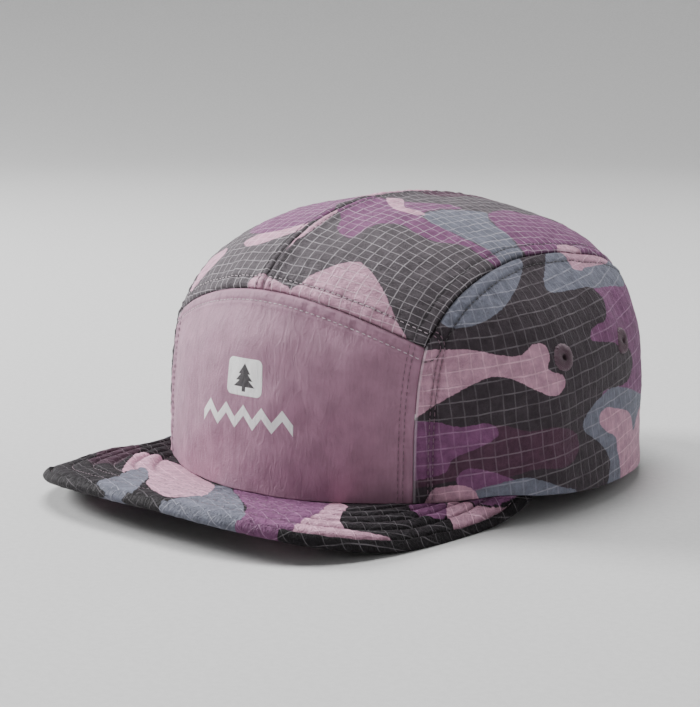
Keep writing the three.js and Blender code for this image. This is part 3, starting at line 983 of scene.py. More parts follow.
class Sheet:
    """A node tree that is being drawn."""

    def __init__(self, tree: bpy.types.NodeTree) -> None:
        """Start on an empty tree."""
        self.tree = tree

    def node(self, kind: str, **settings: object) -> bpy.types.Node:
        """Add a node.

        Args:
            kind: Its type.
            settings: Its properties.

        Returns:
            The node, clear of those before it.
        """
        node = self.tree.nodes.new(kind)
        row, column = divmod(len(self.tree.nodes), 12)
        node.location = (180 * column, -160 * row)
        for key, value in settings.items():
            setattr(node, key, value)
        return node

    def feed(self, socket: bpy.types.NodeSocket, value: object) -> None:
        """Link a socket to another, or set its own value.

        Args:
            socket: The input.
            value: Another node's output, or a plain value.
        """
        if isinstance(value, bpy.types.NodeSocket):
            self.tree.links.new(value, socket)
        else:
            socket.default_value = value

    def put(self, node: bpy.types.Node, **values: object) -> bpy.types.Node:
        """Feed a node's inputs by their names, with _ for a space.

        Args:
            node: The node.
            values: What each input gets.

        Returns:
            The same node.
        """
        for key, value in values.items():
            self.feed(node.inputs[key.replace("_", " ")], value)
        return node

    def math(self, operation: str, *values: object, kind: str = "ShaderNodeMath") -> bpy.types.NodeSocket:
        """The result of a Math or Vector Math node.

        Args:
            operation: What it does.
            values: Its inputs in order.
            kind: The node's type.

        Returns:
            Its first output.
        """
        node = self.node(kind, operation=operation)
        for socket, value in zip(node.inputs, values):
            self.feed(socket, value)
        return node.outputs[0]

    def vector(self, operation: str, *values: object) -> bpy.types.NodeSocket:
        """The vector result of a Vector Math node."""
        return self.math(operation, *values, kind="ShaderNodeVectorMath")

    def plus(self, value: object, share: object, amount: object) -> bpy.types.NodeSocket:
        """A value with a share of an amount added."""
        return self.math("ADD", value, self.math("MULTIPLY", share, amount))

    def less(self, value: object, share: object, amount: object) -> bpy.types.NodeSocket:
        """A value with a share of an amount taken off."""
        return self.math("SUBTRACT", value, self.math("MULTIPLY", share, amount))

    def ease(self, value: object, low: object, high: object, start: object = 0.0,
             end: object = 1.0) -> bpy.types.NodeSocket:
        """A smooth change from start to end while a value goes from low to high.

        Args:
            value: The value.
            low: Where the change starts.
            high: Where it ends.
            start: The result below low.
            end: The result above high.

        Returns:
            The result.
        """
        node = self.node("ShaderNodeMapRange", interpolation_type="SMOOTHSTEP")
        self.put(node, Value=value, From_Min=low, From_Max=high, To_Min=start, To_Max=end)
        return node.outputs["Result"]

    def noise(self, vector: object, scale: float, detail: float = 2,
              roughness: float = 0.5) -> bpy.types.Node:
        """A Noise Texture node."""
        node = self.node("ShaderNodeTexNoise")
        return self.put(node, Vector=vector, Scale=scale, Detail=detail, Roughness=roughness)

    def blend(self, share: object, first: object, second: object) -> bpy.types.NodeSocket:
        """A mix of two colours.

        Args:
            share: The second colour's share.
            first: The first colour.
            second: The second colour.

        Returns:
            The mixed colour.
        """
        node = self.node("ShaderNodeMix", data_type="RGBA")
        self.feed(node.inputs["Factor"], share)
        colours = [socket for socket in node.inputs if socket.type == "RGBA"]
        for socket, colour in zip(colours, (first, second)):
            self.feed(socket, colour)
        return next(socket for socket in node.outputs if socket.type == "RGBA")

    def lit(self, colour: object, value: object) -> bpy.types.NodeSocket:
        """A colour made lighter or darker."""
        return self.put(self.node("ShaderNodeHueSaturation"), Color=colour, Value=value).outputs["Color"]

    def split(self, vector: object) -> tuple[bpy.types.NodeSocket, bpy.types.NodeSocket]:
        """The first two parts of a vector."""
        node = self.put(self.node("ShaderNodeSeparateXYZ"), Vector=vector)
        return node.outputs[0], node.outputs[1]

    def use(self, group: bpy.types.NodeTree, **values: object) -> bpy.types.Node:
        """Place a node group with its values."""
        return self.put(self.node("ShaderNodeGroup", node_tree=group), **values)

    def attribute(self, name: str) -> bpy.types.NodeSocket:
        """A value that the mesh keeps at each point."""
        return self.node("ShaderNodeAttribute", attribute_name=name).outputs["Fac"]

    def fabric(self) -> bpy.types.NodeSocket:
        """The cloth coordinates."""
        return self.node("ShaderNodeUVMap", uv_map="fabric").outputs["UV"]

    def bump(self, height: object, depth: float, before: object = None) -> bpy.types.NodeSocket:
        """A Bump node.

        Args:
            height: The height that it reads.
            depth: How far a height of one stands out, in millimetres.
            before: The normal that it adds to.

        Returns:
            The new normal.
        """
        node = self.put(self.node("ShaderNodeBump"), Height=height, Distance=depth * MM, Strength=1.0)
        if before is not None:
            self.feed(node.inputs["Normal"], before)
        return node.outputs["Normal"]


class Groups:
    """The shader node groups that several finishes share."""

    def __init__(self) -> None:
        """Build each group once."""
        self.ripstop = self._ripstop()
        self.camouflage = self._camouflage()
        self.crinkle = self._crinkle()
        self.weave = self._weave()

    @staticmethod
    def _start(name: str, inputs: dict[str, float | str],
               outputs: dict[str, str]) -> tuple[Sheet, bpy.types.Node, bpy.types.Node]:
        """A new group with its sockets.

        Args:
            name: The group's name.
            inputs: Each input's starting number, or its kind where it isn't a number.
            outputs: Each output's kind.

        Returns:
            The sheet to draw on, and the group's input and output nodes.
        """
        group = bpy.data.node_groups.new(name, "ShaderNodeTree")
        for label, start in inputs.items():
            kind = start if isinstance(start, str) else "Float"
            socket = group.interface.new_socket(name=label, in_out="INPUT", socket_type="NodeSocket" + kind)
            if kind == "Float":
                socket.default_value = start
        for label, kind in outputs.items():
            group.interface.new_socket(name=label, in_out="OUTPUT", socket_type="NodeSocket" + kind)
        sheet = Sheet(group)
        return sheet, sheet.node("NodeGroupInput"), sheet.node("NodeGroupOutput")

    def _ripstop(self) -> bpy.types.NodeTree:
        """Thick threads that cross at even distances, broken here and there.

        Returns:
            The group.
        """
        sheet, given, result = self._start(
            "Ripstop threads",
            {"Fabric": "Vector", "Across Spacing": 5.0, "Up Spacing": 5.0, "Thread Width": 0.4,
             "Column Strength": 1.0, "Lean": 0.0},
            {"Mask": "Float"},
        )
        wander = sheet.noise(given.outputs["Fabric"], 0.09, 2)
        shift = sheet.vector("MULTIPLY_ADD", wander.outputs["Color"], (1.5, 1.5, 0), (-0.75, -0.75, 0))
        turned_cloth = sheet.put(
            sheet.node("ShaderNodeVectorRotate", rotation_type="Z_AXIS"),
            Vector=sheet.vector("ADD", given.outputs["Fabric"], shift), Angle=given.outputs["Lean"],
        ).outputs[0]
        half = sheet.math("MULTIPLY", given.outputs["Thread Width"], 0.5)
        soft = sheet.math("ADD", half, 0.16)
        masks = []
        ways = (
            ("Across Spacing", (0.9, 0.16, 1), given.outputs["Column Strength"]),
            ("Up Spacing", (0.16, 0.9, 1), 1.0),
        )
        for part, (spacing, scale, strength) in zip(sheet.split(turned_cloth), ways):
            share = sheet.math("FRACT", sheet.math("DIVIDE", part, given.outputs[spacing]))
            off = sheet.math("SUBTRACT", 0.5, sheet.math("ABSOLUTE", sheet.math("SUBTRACT", share, 0.5)))
            distance = sheet.math("MULTIPLY", off, given.outputs[spacing])
            line = sheet.ease(distance, half, soft, 1.0, 0.0)
            stretched = sheet.vector("MULTIPLY", turned_cloth, scale)
            broken = sheet.ease(sheet.noise(stretched, 0.8, 3).outputs["Fac"], 0.34, 0.62, 0.38, 1.0)
            masks.append(sheet.math("MULTIPLY", sheet.math("MULTIPLY", line, broken), strength))
        sheet.put(result, Mask=sheet.math("MAXIMUM", *masks))
        return sheet.tree

    def _camouflage(self) -> bpy.types.NodeTree:
        """The printed patches, laid one over the other on the ground colour.

        Returns:
            The group.
        """
        inputs = {"Ground": "Color", "Fabric": "Vector"}
        inputs |= {shade.label: "Color" for shade in Shade}
        sheet, given, result = self._start("Camouflage print", inputs, {"Color": "Color"})
        ragged = sheet.noise(given.outputs["Fabric"], 0.55, 3)
        bleed = sheet.math("MULTIPLY", sheet.math("SUBTRACT", ragged.outputs["Fac"], 0.5), 1.1)
        colour = given.outputs["Ground"]
        for shade in Shade:
            mask = sheet.ease(sheet.math("ADD", sheet.attribute(shade.value), bleed), -0.16, 0.16)
            colour = sheet.blend(mask, colour, given.outputs[shade.label])
        sheet.put(result, Color=colour)
        return sheet.tree

    def _crinkle(self) -> bpy.types.NodeTree:
        """The small creases of thin nylon that has been washed, with a painted highlight along them.

        Returns:
            The group.
        """
        sheet, given, result = self._start(
            "Nylon crinkle",
            {"Fabric": "Vector", "Crease Length": 3.0, "Crease Width": 1.2},
            {"Height": "Float", "Wear": "Float"},
        )
        across, up = sheet.split(given.outputs["Fabric"])
        joined = sheet.put(
            sheet.node("ShaderNodeCombineXYZ"),
            X=sheet.math("DIVIDE", across, given.outputs["Crease Width"]),
            Y=sheet.math("DIVIDE", up, given.outputs["Crease Length"]),
        ).outputs[0]
        bent = sheet.noise(joined, 0.6, 1)
        warp = sheet.vector("MULTIPLY_ADD", bent.outputs["Color"], (1.4, 1.4, 0), joined)
        folds = sheet.noise(warp, 1.0, 3, 0.55).outputs["Fac"]
        crease = sheet.ease(sheet.math("ABSOLUTE", sheet.math("SUBTRACT", folds, 0.5)), 0.0, 0.13, 1.0, 0.0)
        swell = sheet.noise(warp, 0.35, 2).outputs["Fac"]
        # Painted highlight: the crease lines, which the finishes paint lighter and make glossier.
        sheet.put(result, Height=sheet.plus(swell, crease, 0.55), Wear=sheet.math("MULTIPLY", crease, folds))
        return sheet.tree

    def _weave(self) -> bpy.types.NodeTree:
        """The fine plain weave of the cloth.

        Returns:
            The group.
        """
        inputs = {"Fabric": "Vector", "Pitch": 0.35}
        sheet, given, result = self._start("Plain weave", inputs, {"Height": "Float"})
        turn = sheet.math("DIVIDE", math.tau, given.outputs["Pitch"])
        parts = sheet.split(given.outputs["Fabric"])
        over, under = (sheet.math("SINE", sheet.math("MULTIPLY", part, turn)) for part in parts)
        sheet.put(result, Height=sheet.math("MULTIPLY", over, under))
        return sheet.tree


def sheet_of(name: str) -> tuple[bpy.types.Material, Sheet, bpy.types.Node]:
    """Start a finish.

    Args:
        name: The material's name.

    Returns:
        The material, its sheet and its shader.
    """
    material = bpy.data.materials.new(name)
    material.use_nodes = True
    return material, Sheet(material.node_tree), material.node_tree.nodes["Principled BSDF"]


@dataclass(frozen=True)
class CamouflageCloth:
    """Printed ripstop nylon."""

    name: str
    lean: float
    across_spacing: float = 4.7
    up_spacing: float = 5.3
    thread_width: float = 0.42
    column_strength: float = 1.0
    ground: Colour = (0.052, 0.041, 0.049, 1)
    plum: Colour = (0.088, 0.042, 0.068, 1)
    purple: Colour = (0.2, 0.078, 0.172, 1)
    grey: Colour = (0.17, 0.178, 0.228, 1)
    pink: Colour = (0.62, 0.34, 0.455, 1)
    thread: Colour = (0.95, 0.88, 0.94, 1)
    thread_share: float = 0.12
    thread_gain: float = 0.4
    thread_rise: float = 0.16
    # The share of the thread colour in the painted highlight along a folded seam edge.
    highlight_share: float = 0.4
    crease_length: float = 2.6
    crease_width: float = 1.5
    crease_depth: float = 0.32
    # How much lighter the painted highlight makes the crease lines.
    crease_glint: float = 0.16
    # How far the painted shade darkens the colour in seams, along stitch rows and on the brim.
    painted_darkening: float = 0.75
    weave_pitch: float = 0.4
    weave_depth: float = 0.02
    roughness: float = 0.6

    def material(self, groups: Groups) -> bpy.types.Material:
        """Build the finish.

        Args:
            groups: The shared node groups.

        Returns:
            The material.
        """
        material, sheet, shader = sheet_of(self.name)
        fabric = sheet.fabric()
        threads = sheet.use(
            groups.ripstop, Fabric=fabric, Across_Spacing=self.across_spacing, Up_Spacing=self.up_spacing,
            Thread_Width=self.thread_width, Column_Strength=self.column_strength, Lean=self.lean,
        ).outputs["Mask"]
        colours = {shade.label: getattr(self, shade.name.lower()) for shade in Shade}
        inked = sheet.use(groups.camouflage, Fabric=fabric, Ground=self.ground, **colours).outputs["Color"]
        creases = sheet.use(
            groups.crinkle, Fabric=fabric, Crease_Length=self.crease_length, Crease_Width=self.crease_width,
        ).outputs
        weave = sheet.use(groups.weave, Fabric=fabric, Pitch=self.weave_pitch).outputs["Height"]
        tint = sheet.ease(sheet.noise(fabric, 0.22, 5, 0.65).outputs["Fac"], 0.3, 0.7, 0.8, 1.2)
        # A random tint, and a painted highlight along the creases.
        tint_and_glint = sheet.plus(tint, creases["Wear"], self.crease_glint)
        painted_edge_highlight = sheet.attribute("painted_edge_highlight")
        # Painted shade: the colour is darkened by a field of the mesh that is high in the seam grooves, along
        # the stitch rows and on the brim's edge band and underside.
        shadow = sheet.less(1.0, sheet.attribute("painted_shade_field"), self.painted_darkening)
        # The ripstop threads are made lighter, and so is the painted highlight along the folded seam edge.
        gain = sheet.plus(1.0, sheet.math("MAXIMUM", threads, painted_edge_highlight), self.thread_gain)
        shaded = sheet.lit(inked, sheet.math("MULTIPLY", sheet.math("MULTIPLY", tint_and_glint, gain), shadow))
        lined = sheet.math("MAXIMUM", sheet.math("MULTIPLY", threads, self.thread_share),
                           sheet.math("MULTIPLY", painted_edge_highlight, self.highlight_share))
        normal = sheet.bump(creases["Height"], self.crease_depth)
        normal = sheet.bump(threads, self.thread_rise, normal)
        sheet.put(
            shader, Base_Color=sheet.blend(lined, shaded, self.thread), Specular_IOR_Level=0.12,
            Sheen_Weight=0.02, Sheen_Roughness=0.4,
            Roughness=sheet.less(self.roughness, creases["Wear"], 0.1),
            Normal=sheet.bump(weave, self.weave_depth, normal),
        )
        return material


@dataclass(frozen=True)
class Badge:
    """The plain print on the front: a rounded square with a fir tree, over a zigzag. Sizes in millimetres."""

    half_width: float = 8.6
    half_height: float = 6.8
    corner: float = 2.2
    height: float = 4.2
    tiers: tuple[tuple[float, float, float], ...] = ((-3.6, 0.6, 5.2), (-1.3, 2.9, 4.1), (1.1, 5.0, 2.9))
    trunk_height: float = -4.3
    trunk_half_width: float = 0.9
    trunk_half_height: float = 1.0
    trunk_corner: float = 0.1
    zigzag_height: float = -10.4
    zigzag_half_width: float = 22.5
    zigzag_wave: float = 9
    zigzag_rise: float = 5
    stroke: float = 2.7
    ink_edge: float = 0.09

    def box(self, sheet: Sheet, across: object, up: object, half_width: float, half_height: float,
            corner: float) -> bpy.types.NodeSocket:
        """The distance out of a rounded box round the origin.

        Args:
            sheet: Where the nodes go.
            across: Sideways position.
            up: Upward position.
            half_width: Half of the box's width.
            half_height: Half of its height.
            corner: The radius of its corners.

        Returns:
            The distance in millimetres, negative inside.
        """
        off_x = sheet.math("SUBTRACT", sheet.math("ABSOLUTE", across), half_width - corner)
        off_y = sheet.math("SUBTRACT", sheet.math("ABSOLUTE", up), half_height - corner)
        x = sheet.math("MAXIMUM", off_x, 0.0)
        y = sheet.math("MAXIMUM", off_y, 0.0)
        outside = sheet.math("SQRT", sheet.plus(sheet.math("MULTIPLY", x, x), y, y))
        inside = sheet.math("MINIMUM", sheet.math("MAXIMUM", off_x, off_y), 0.0)
        return sheet.math("SUBTRACT", sheet.math("ADD", outside, inside), corner)

    def tier(self, sheet: Sheet, across: object, up: object, foot: float, top: float,
             half_width: float) -> bpy.types.NodeSocket:
        """The distance out of one triangle of the tree.

        Args:
            sheet: Where the nodes go.
            across: Sideways position.
            up: Upward position.
            foot: Height of its foot.
            top: Height of its point.
            half_width: Half of its foot's width.

        Returns:
            The distance in millimetres, negative inside.
        """
        slope = math.hypot(half_width, top - foot)
        flank = sheet.math("MULTIPLY", sheet.math("ABSOLUTE", across), (top - foot) / slope)
        rise = sheet.math("MULTIPLY", sheet.math("SUBTRACT", up, top), half_width / slope)
        return sheet.math("MAXIMUM", sheet.math("ADD", flank, rise), sheet.math("SUBTRACT", foot, up))

    def masks(self, sheet: Sheet, fabric: object) -> tuple[bpy.types.NodeSocket, bpy.types.NodeSocket]:
        """The print's two inks.

        Args:
            sheet: Where the nodes go.
            fabric: The cloth coordinates.

        Returns:
            The masks of the white ink and of the bare tree within it.
        """
        across, cloth_up = sheet.split(fabric)
        up = sheet.math("SUBTRACT", cloth_up, self.height)
        square = self.box(sheet, across, up, self.half_width, self.half_height, self.corner)
        low = sheet.math("SUBTRACT", up, self.trunk_height)
        tree = self.box(sheet, across, low, self.trunk_half_width, self.trunk_half_height, self.trunk_corner)
        for foot, top, half in self.tiers:
            tree = sheet.math("MINIMUM", tree, self.tier(sheet, across, up, foot, top, half))
        line = sheet.math("SUBTRACT", cloth_up, self.zigzag_height)
        from_end = sheet.math("ADD", across, self.zigzag_half_width)
        share = sheet.math("FRACT", sheet.math("DIVIDE", from_end, self.zigzag_wave))
        peak = sheet.math("SUBTRACT", 0.5, sheet.math("ABSOLUTE", sheet.math("SUBTRACT", share, 0.5)))
        wave = sheet.math("MULTIPLY", sheet.math("SUBTRACT", peak, 0.25), 2 * self.zigzag_rise)
        slope = math.hypot(self.zigzag_rise, self.zigzag_wave / 2)
        off = sheet.math("ABSOLUTE", sheet.math("SUBTRACT", line, wave))
        off = sheet.math("MULTIPLY", off, self.zigzag_wave / 2 / slope)
        ends = sheet.math("SUBTRACT", sheet.math("ABSOLUTE", across), self.zigzag_half_width)
        zigzag = sheet.math("MAXIMUM", sheet.math("SUBTRACT", off, self.stroke / 2), ends)
        white = sheet.math("MINIMUM", square, zigzag)
        return tuple(sheet.ease(ink, -self.ink_edge, self.ink_edge, 1.0, 0.0) for ink in (white, tree))


@dataclass(frozen=True)
class PlainCloth:
    """The front panel's crinkled nylon with its print."""

    name: str
    badge: Badge = Badge()
    colour: Colour = (0.368, 0.192, 0.274, 1)
    white: Colour = (0.95, 0.96, 0.95, 1)
    dark: Colour = (0.045, 0.04, 0.045, 1)
    crease_length: float = 9.0
    crease_width: float = 3.4
    crease_depth: float = 0.16
    grain_depth: float = 0.12
    weave_pitch: float = 0.34
    weave_depth: float = 0.02
    print_depth: float = 0.12
    roughness: float = 0.6

    def material(self, groups: Groups) -> bpy.types.Material:
        """Build the finish.

        Args:
            groups: The shared node groups.

        Returns:
            The material.
        """
        material, sheet, shader = sheet_of(self.name)
        fabric = sheet.fabric()
        creases = sheet.use(
            groups.crinkle, Fabric=fabric, Crease_Length=self.crease_length, Crease_Width=self.crease_width,
        ).outputs
        weave = sheet.use(groups.weave, Fabric=fabric, Pitch=self.weave_pitch).outputs["Height"]
        streaks = sheet.noise(sheet.vector("MULTIPLY", fabric, (1.6, 0.22, 1)), 0.6, 4, 0.6)
        tint = sheet.ease(streaks.outputs["Fac"], 0.3, 0.7, 0.96, 1.04)
        tone = sheet.ease(sheet.noise(fabric, 0.13, 4).outputs["Fac"], 0.3, 0.7, 0.88, 1.08)
        # A painted highlight along the creases.
        value = sheet.plus(sheet.math("MULTIPLY", tint, tone), creases["Wear"], 0.06)
        white, tree = self.badge.masks(sheet, fabric)
        inked = sheet.blend(white, sheet.lit(self.colour, value), self.white)
        normal = sheet.bump(creases["Height"], self.crease_depth)
        normal = sheet.bump(sheet.noise(fabric, 1.1, 4, 0.7).outputs["Fac"], self.grain_depth, normal)
        normal = sheet.bump(weave, self.weave_depth, normal)
        sheet.put(
            shader, Base_Color=sheet.blend(tree, inked, self.dark), Specular_IOR_Level=0.35,
            Roughness=sheet.less(self.roughness, white, 0.12), Sheen_Weight=0.1, Sheen_Roughness=0.4,
            Normal=sheet.bump(white, self.print_depth, normal),
        )
        return material


@dataclass(frozen=True)
class Thread:
    """Sewing thread."""

    name: str
    colour: Colour
    roughness: float = 0.5
    twist: float = 11.0

    def material(self) -> bpy.types.Material:
        """Build the finish, with the thread's twist along its length.

        Returns:
            The material.
        """
        material, sheet, shader = sheet_of(self.name)
        along, around = sheet.split(sheet.fabric())
        ply = sheet.math("SINE", sheet.plus(sheet.math("MULTIPLY", along, self.twist), around, math.tau))
        # Painted shade: the colour is darker in the grooves between the plies.
        shade = sheet.ease(ply, -1.0, 1.0, 0.72, 1.1)
        sheet.put(
            shader, Base_Color=sheet.lit(self.colour, shade), Normal=sheet.bump(ply, 0.05),
            Roughness=self.roughness, Sheen_Weight=0.2,
        )
        return material


@dataclass(frozen=True)
class Webbing:
    """The strap's woven tape."""

    name: str
    colour: Colour = (0.05, 0.045, 0.05, 1)
    rib_turn: float = 4.2
    row_turn: float = 7.5

    def material(self) -> bpy.types.Material:
        """Build the finish, with ribs across the tape.

        Returns:
            The material.
        """
        material, sheet, shader = sheet_of(self.name)
        along, across = sheet.split(sheet.fabric())
        ribs = sheet.math("SINE", sheet.math("MULTIPLY", along, self.rib_turn))
        rows = sheet.math("SINE", sheet.math("MULTIPLY", across, self.row_turn))
        height = sheet.plus(ribs, sheet.math("MULTIPLY", ribs, rows), 0.5)
        # Painted shade: the colour is darker in the troughs between the ribs and lighter on their tops.
        shade = sheet.ease(height, -1.5, 1.5, 0.7, 1.25)
        sheet.put(
            shader, Base_Color=sheet.lit(self.colour, shade), Normal=sheet.bump(height, 0.12), Roughness=0.7,
        )
        return material


@dataclass(frozen=True)
class Moulded:
    """Plain moulded plastic with a fine grain."""

    name: str
    colour: Colour = (0.03, 0.03, 0.032, 1)

    def material(self) -> bpy.types.Material:
        """Build the finish.

        Returns:
            The material.
        """
        material, sheet, shader = sheet_of(self.name)
        place = sheet.node("ShaderNodeTexCoord").outputs["Object"]
        grain = sheet.noise(place, 1800, 2).outputs["Fac"]
        sheet.put(
            shader, Base_Color=self.colour, Normal=sheet.bump(grain, 0.03),
            Roughness=sheet.ease(grain, 0.3, 0.7, 0.38, 0.5),
        )
        return material


@dataclass
class Finishes:
    """Every finish of the cap, built once."""

    groups: Groups = field(default_factory=Groups)

    def __post_init__(self) -> None:
        """Build the materials."""
        # The same cloth in lit and shaded copies: the side's pink is painted darker, the top's ground
        # lighter, and the brim's ground and plum darker.
        self.side = CamouflageCloth(
            "side camouflage ripstop", math.radians(-6), thread_width=0.36, column_strength=0.6,
            pink=(0.52, 0.285, 0.38, 1),
        ).material(self.groups)
        self.top = CamouflageCloth(
            "top camouflage ripstop", 0.0, 4.2, 4.2, 0.22, ground=(0.097, 0.083, 0.094, 1), thread_share=0.38,
        ).material(self.groups)
        self.brim = CamouflageCloth(
            "brim camouflage ripstop", math.radians(25), 6.2, 6.2, 0.16, ground=(0.018, 0.015, 0.018, 1),
            plum=(0.055, 0.026, 0.042, 1), thread_share=0.13, thread_gain=0.75, crease_depth=0.6,
        ).material(self.groups)
        self.front = PlainCloth("mauve nylon").material(self.groups)
        self.light_thread = Thread("light thread", (0.72, 0.6, 0.67, 1)).material()
        self.mauve_thread = Thread("mauve thread", (0.23, 0.125, 0.178, 1)).material()
        self.dark_thread = Thread("charcoal thread", (0.035, 0.03, 0.035, 1)).material()
        self.brim_thread = Thread("brim thread", (0.3, 0.2, 0.25, 1)).material()
        self.eyelet_thread = Thread("eyelet thread", (0.13, 0.068, 0.098, 1)).material()
        self.webbing = Webbing("strap webbing").material()
        self.clasp = Moulded("clasp plastic").material()


class Yarn(Enum):
    """The threads that the panels are topstitched with."""

    PALE = "pale"
    MAUVE = "mauve"
    DARK = "dark"


@dataclass(frozen=True)
class StitchRow:
    """A row of topstitches: its edge, its distance, its thread and how far it gathers the cloth."""

    edge: Edge
    distance: float
    yarn: Yarn
    gather: float = 0.25
    dark_crossbars: bool = False


@dataclass
class Stitcher:
    """Sews rows of single stitches along paths on the cloth. Sizes in millimetres."""

    pitch: float = 2.3
    length: float = 1.55
    width: float = 0.33
    rise: float = 0.18
    mark_length: float = 1.3
    mark_width: float = 0.24
    sunk_share: float = 0.25
    flatness: float = 0.36
    around: int = 8
    along: int = 6
    rows: dict[str, list[np.ndarray]] = field(default_factory=dict)

    def sew(self, key: str, path: np.ndarray, normals: np.ndarray, crosswise: bool = False) -> None:
        """Add stitches along a path.

        Args:
            key: The piece that they go to.
            path: Points along the row, on the cloth.
            normals: The cloth's direction out at each point.
            crosswise: True for short bars across the row.
        """
        length = run_length(path)
        count = int(length[-1] / self.pitch)
        if count < 1:
            return
        start = 0.0 if crosswise else 0.5
        size = self.mark_length if crosswise else self.length
        width = self.mark_width if crosswise else self.width
        centres = (np.arange(count) + start) * length[-1] / count
        turn = np.linspace(-1, 1, self.along + 1)
        stations = centres[:, None] + turn * size / 2
        points = np.stack([np.interp(stations, length, path[:, k]) for k in range(3)], -1)
        out = unit(np.stack([np.interp(centres, length, normals[:, k]) for k in range(3)], -1)[:, None])
        chord = unit(points[:, -1:] - points[:, :1])
        sideways = np.cross(out, chord)
        if crosswise:
            middle = points[:, self.along // 2][:, None]
            points = middle + sideways * (turn * size / 2)[None, :, None]
            sideways = chord
        arch = (1 - turn**4)[None, :, None]
        spine = points + out * (arch * self.rise - self.sunk_share * self.rise)
        thick = np.sqrt(np.clip(1 - (np.abs(turn) * 0.96) ** 5, 0, 1))[None, :, None, None]
        swing = np.linspace(0, 2 * np.pi, self.around, endpoint=False)
        ring = np.cos(swing)[None, None, :, None] * sideways[:, :, None] * width / 2
        ring = ring + np.sin(swing)[None, None, :, None] * out[:, :, None] * width * self.flatness
        self.rows.setdefault(key, []).append(spine[:, :, None] + ring * thick)

    def finish(self, key: str, name: str, material: bpy.types.Material) -> None:
        """Turn the rows of one key into an object.

        Args:
            key: The rows' key.
            name: The object's name.
            material: The thread.
        """
        stitches = np.concatenate(self.rows[key])
        count, stations, around = stitches.shape[:3]
        first_points = np.arange(count) * stations * around
        faces = (Mesher.bar(stitches[0])[None] + first_points[:, None, None]).reshape(-1, 4)
        u = np.repeat(np.linspace(0, self.length, stations), around)
        v = np.tile(np.linspace(0, 1, around, endpoint=False), stations)
        fabric = np.tile(np.stack([u, v], -1), (count, 1))
        piece = Mesher.build(name, stitches.reshape(-1, 3), faces, material, fabric)
        Mesher.settle(piece, "thread")


# The creases of the panels and the gathers at their seams, with lengths in millimetres.
CRUMPLED = (Ripple(1, 2.6, 2.9), Ripple(0.7, 5.5, 4.2, 0.6, 1))
UPRIGHT = (Ripple(0.8, 6, 17, layer=1), Ripple(1, 6.5, 8, 0.5, 2))
BROAD = (Ripple(1, 19, 15, layer=3), Ripple(0.5, 9, 10, layer=4))
GATHERED = (Ripple(1, 1.4, 7, layer=5), Ripple(0.8, 2.9, 12, layer=6))


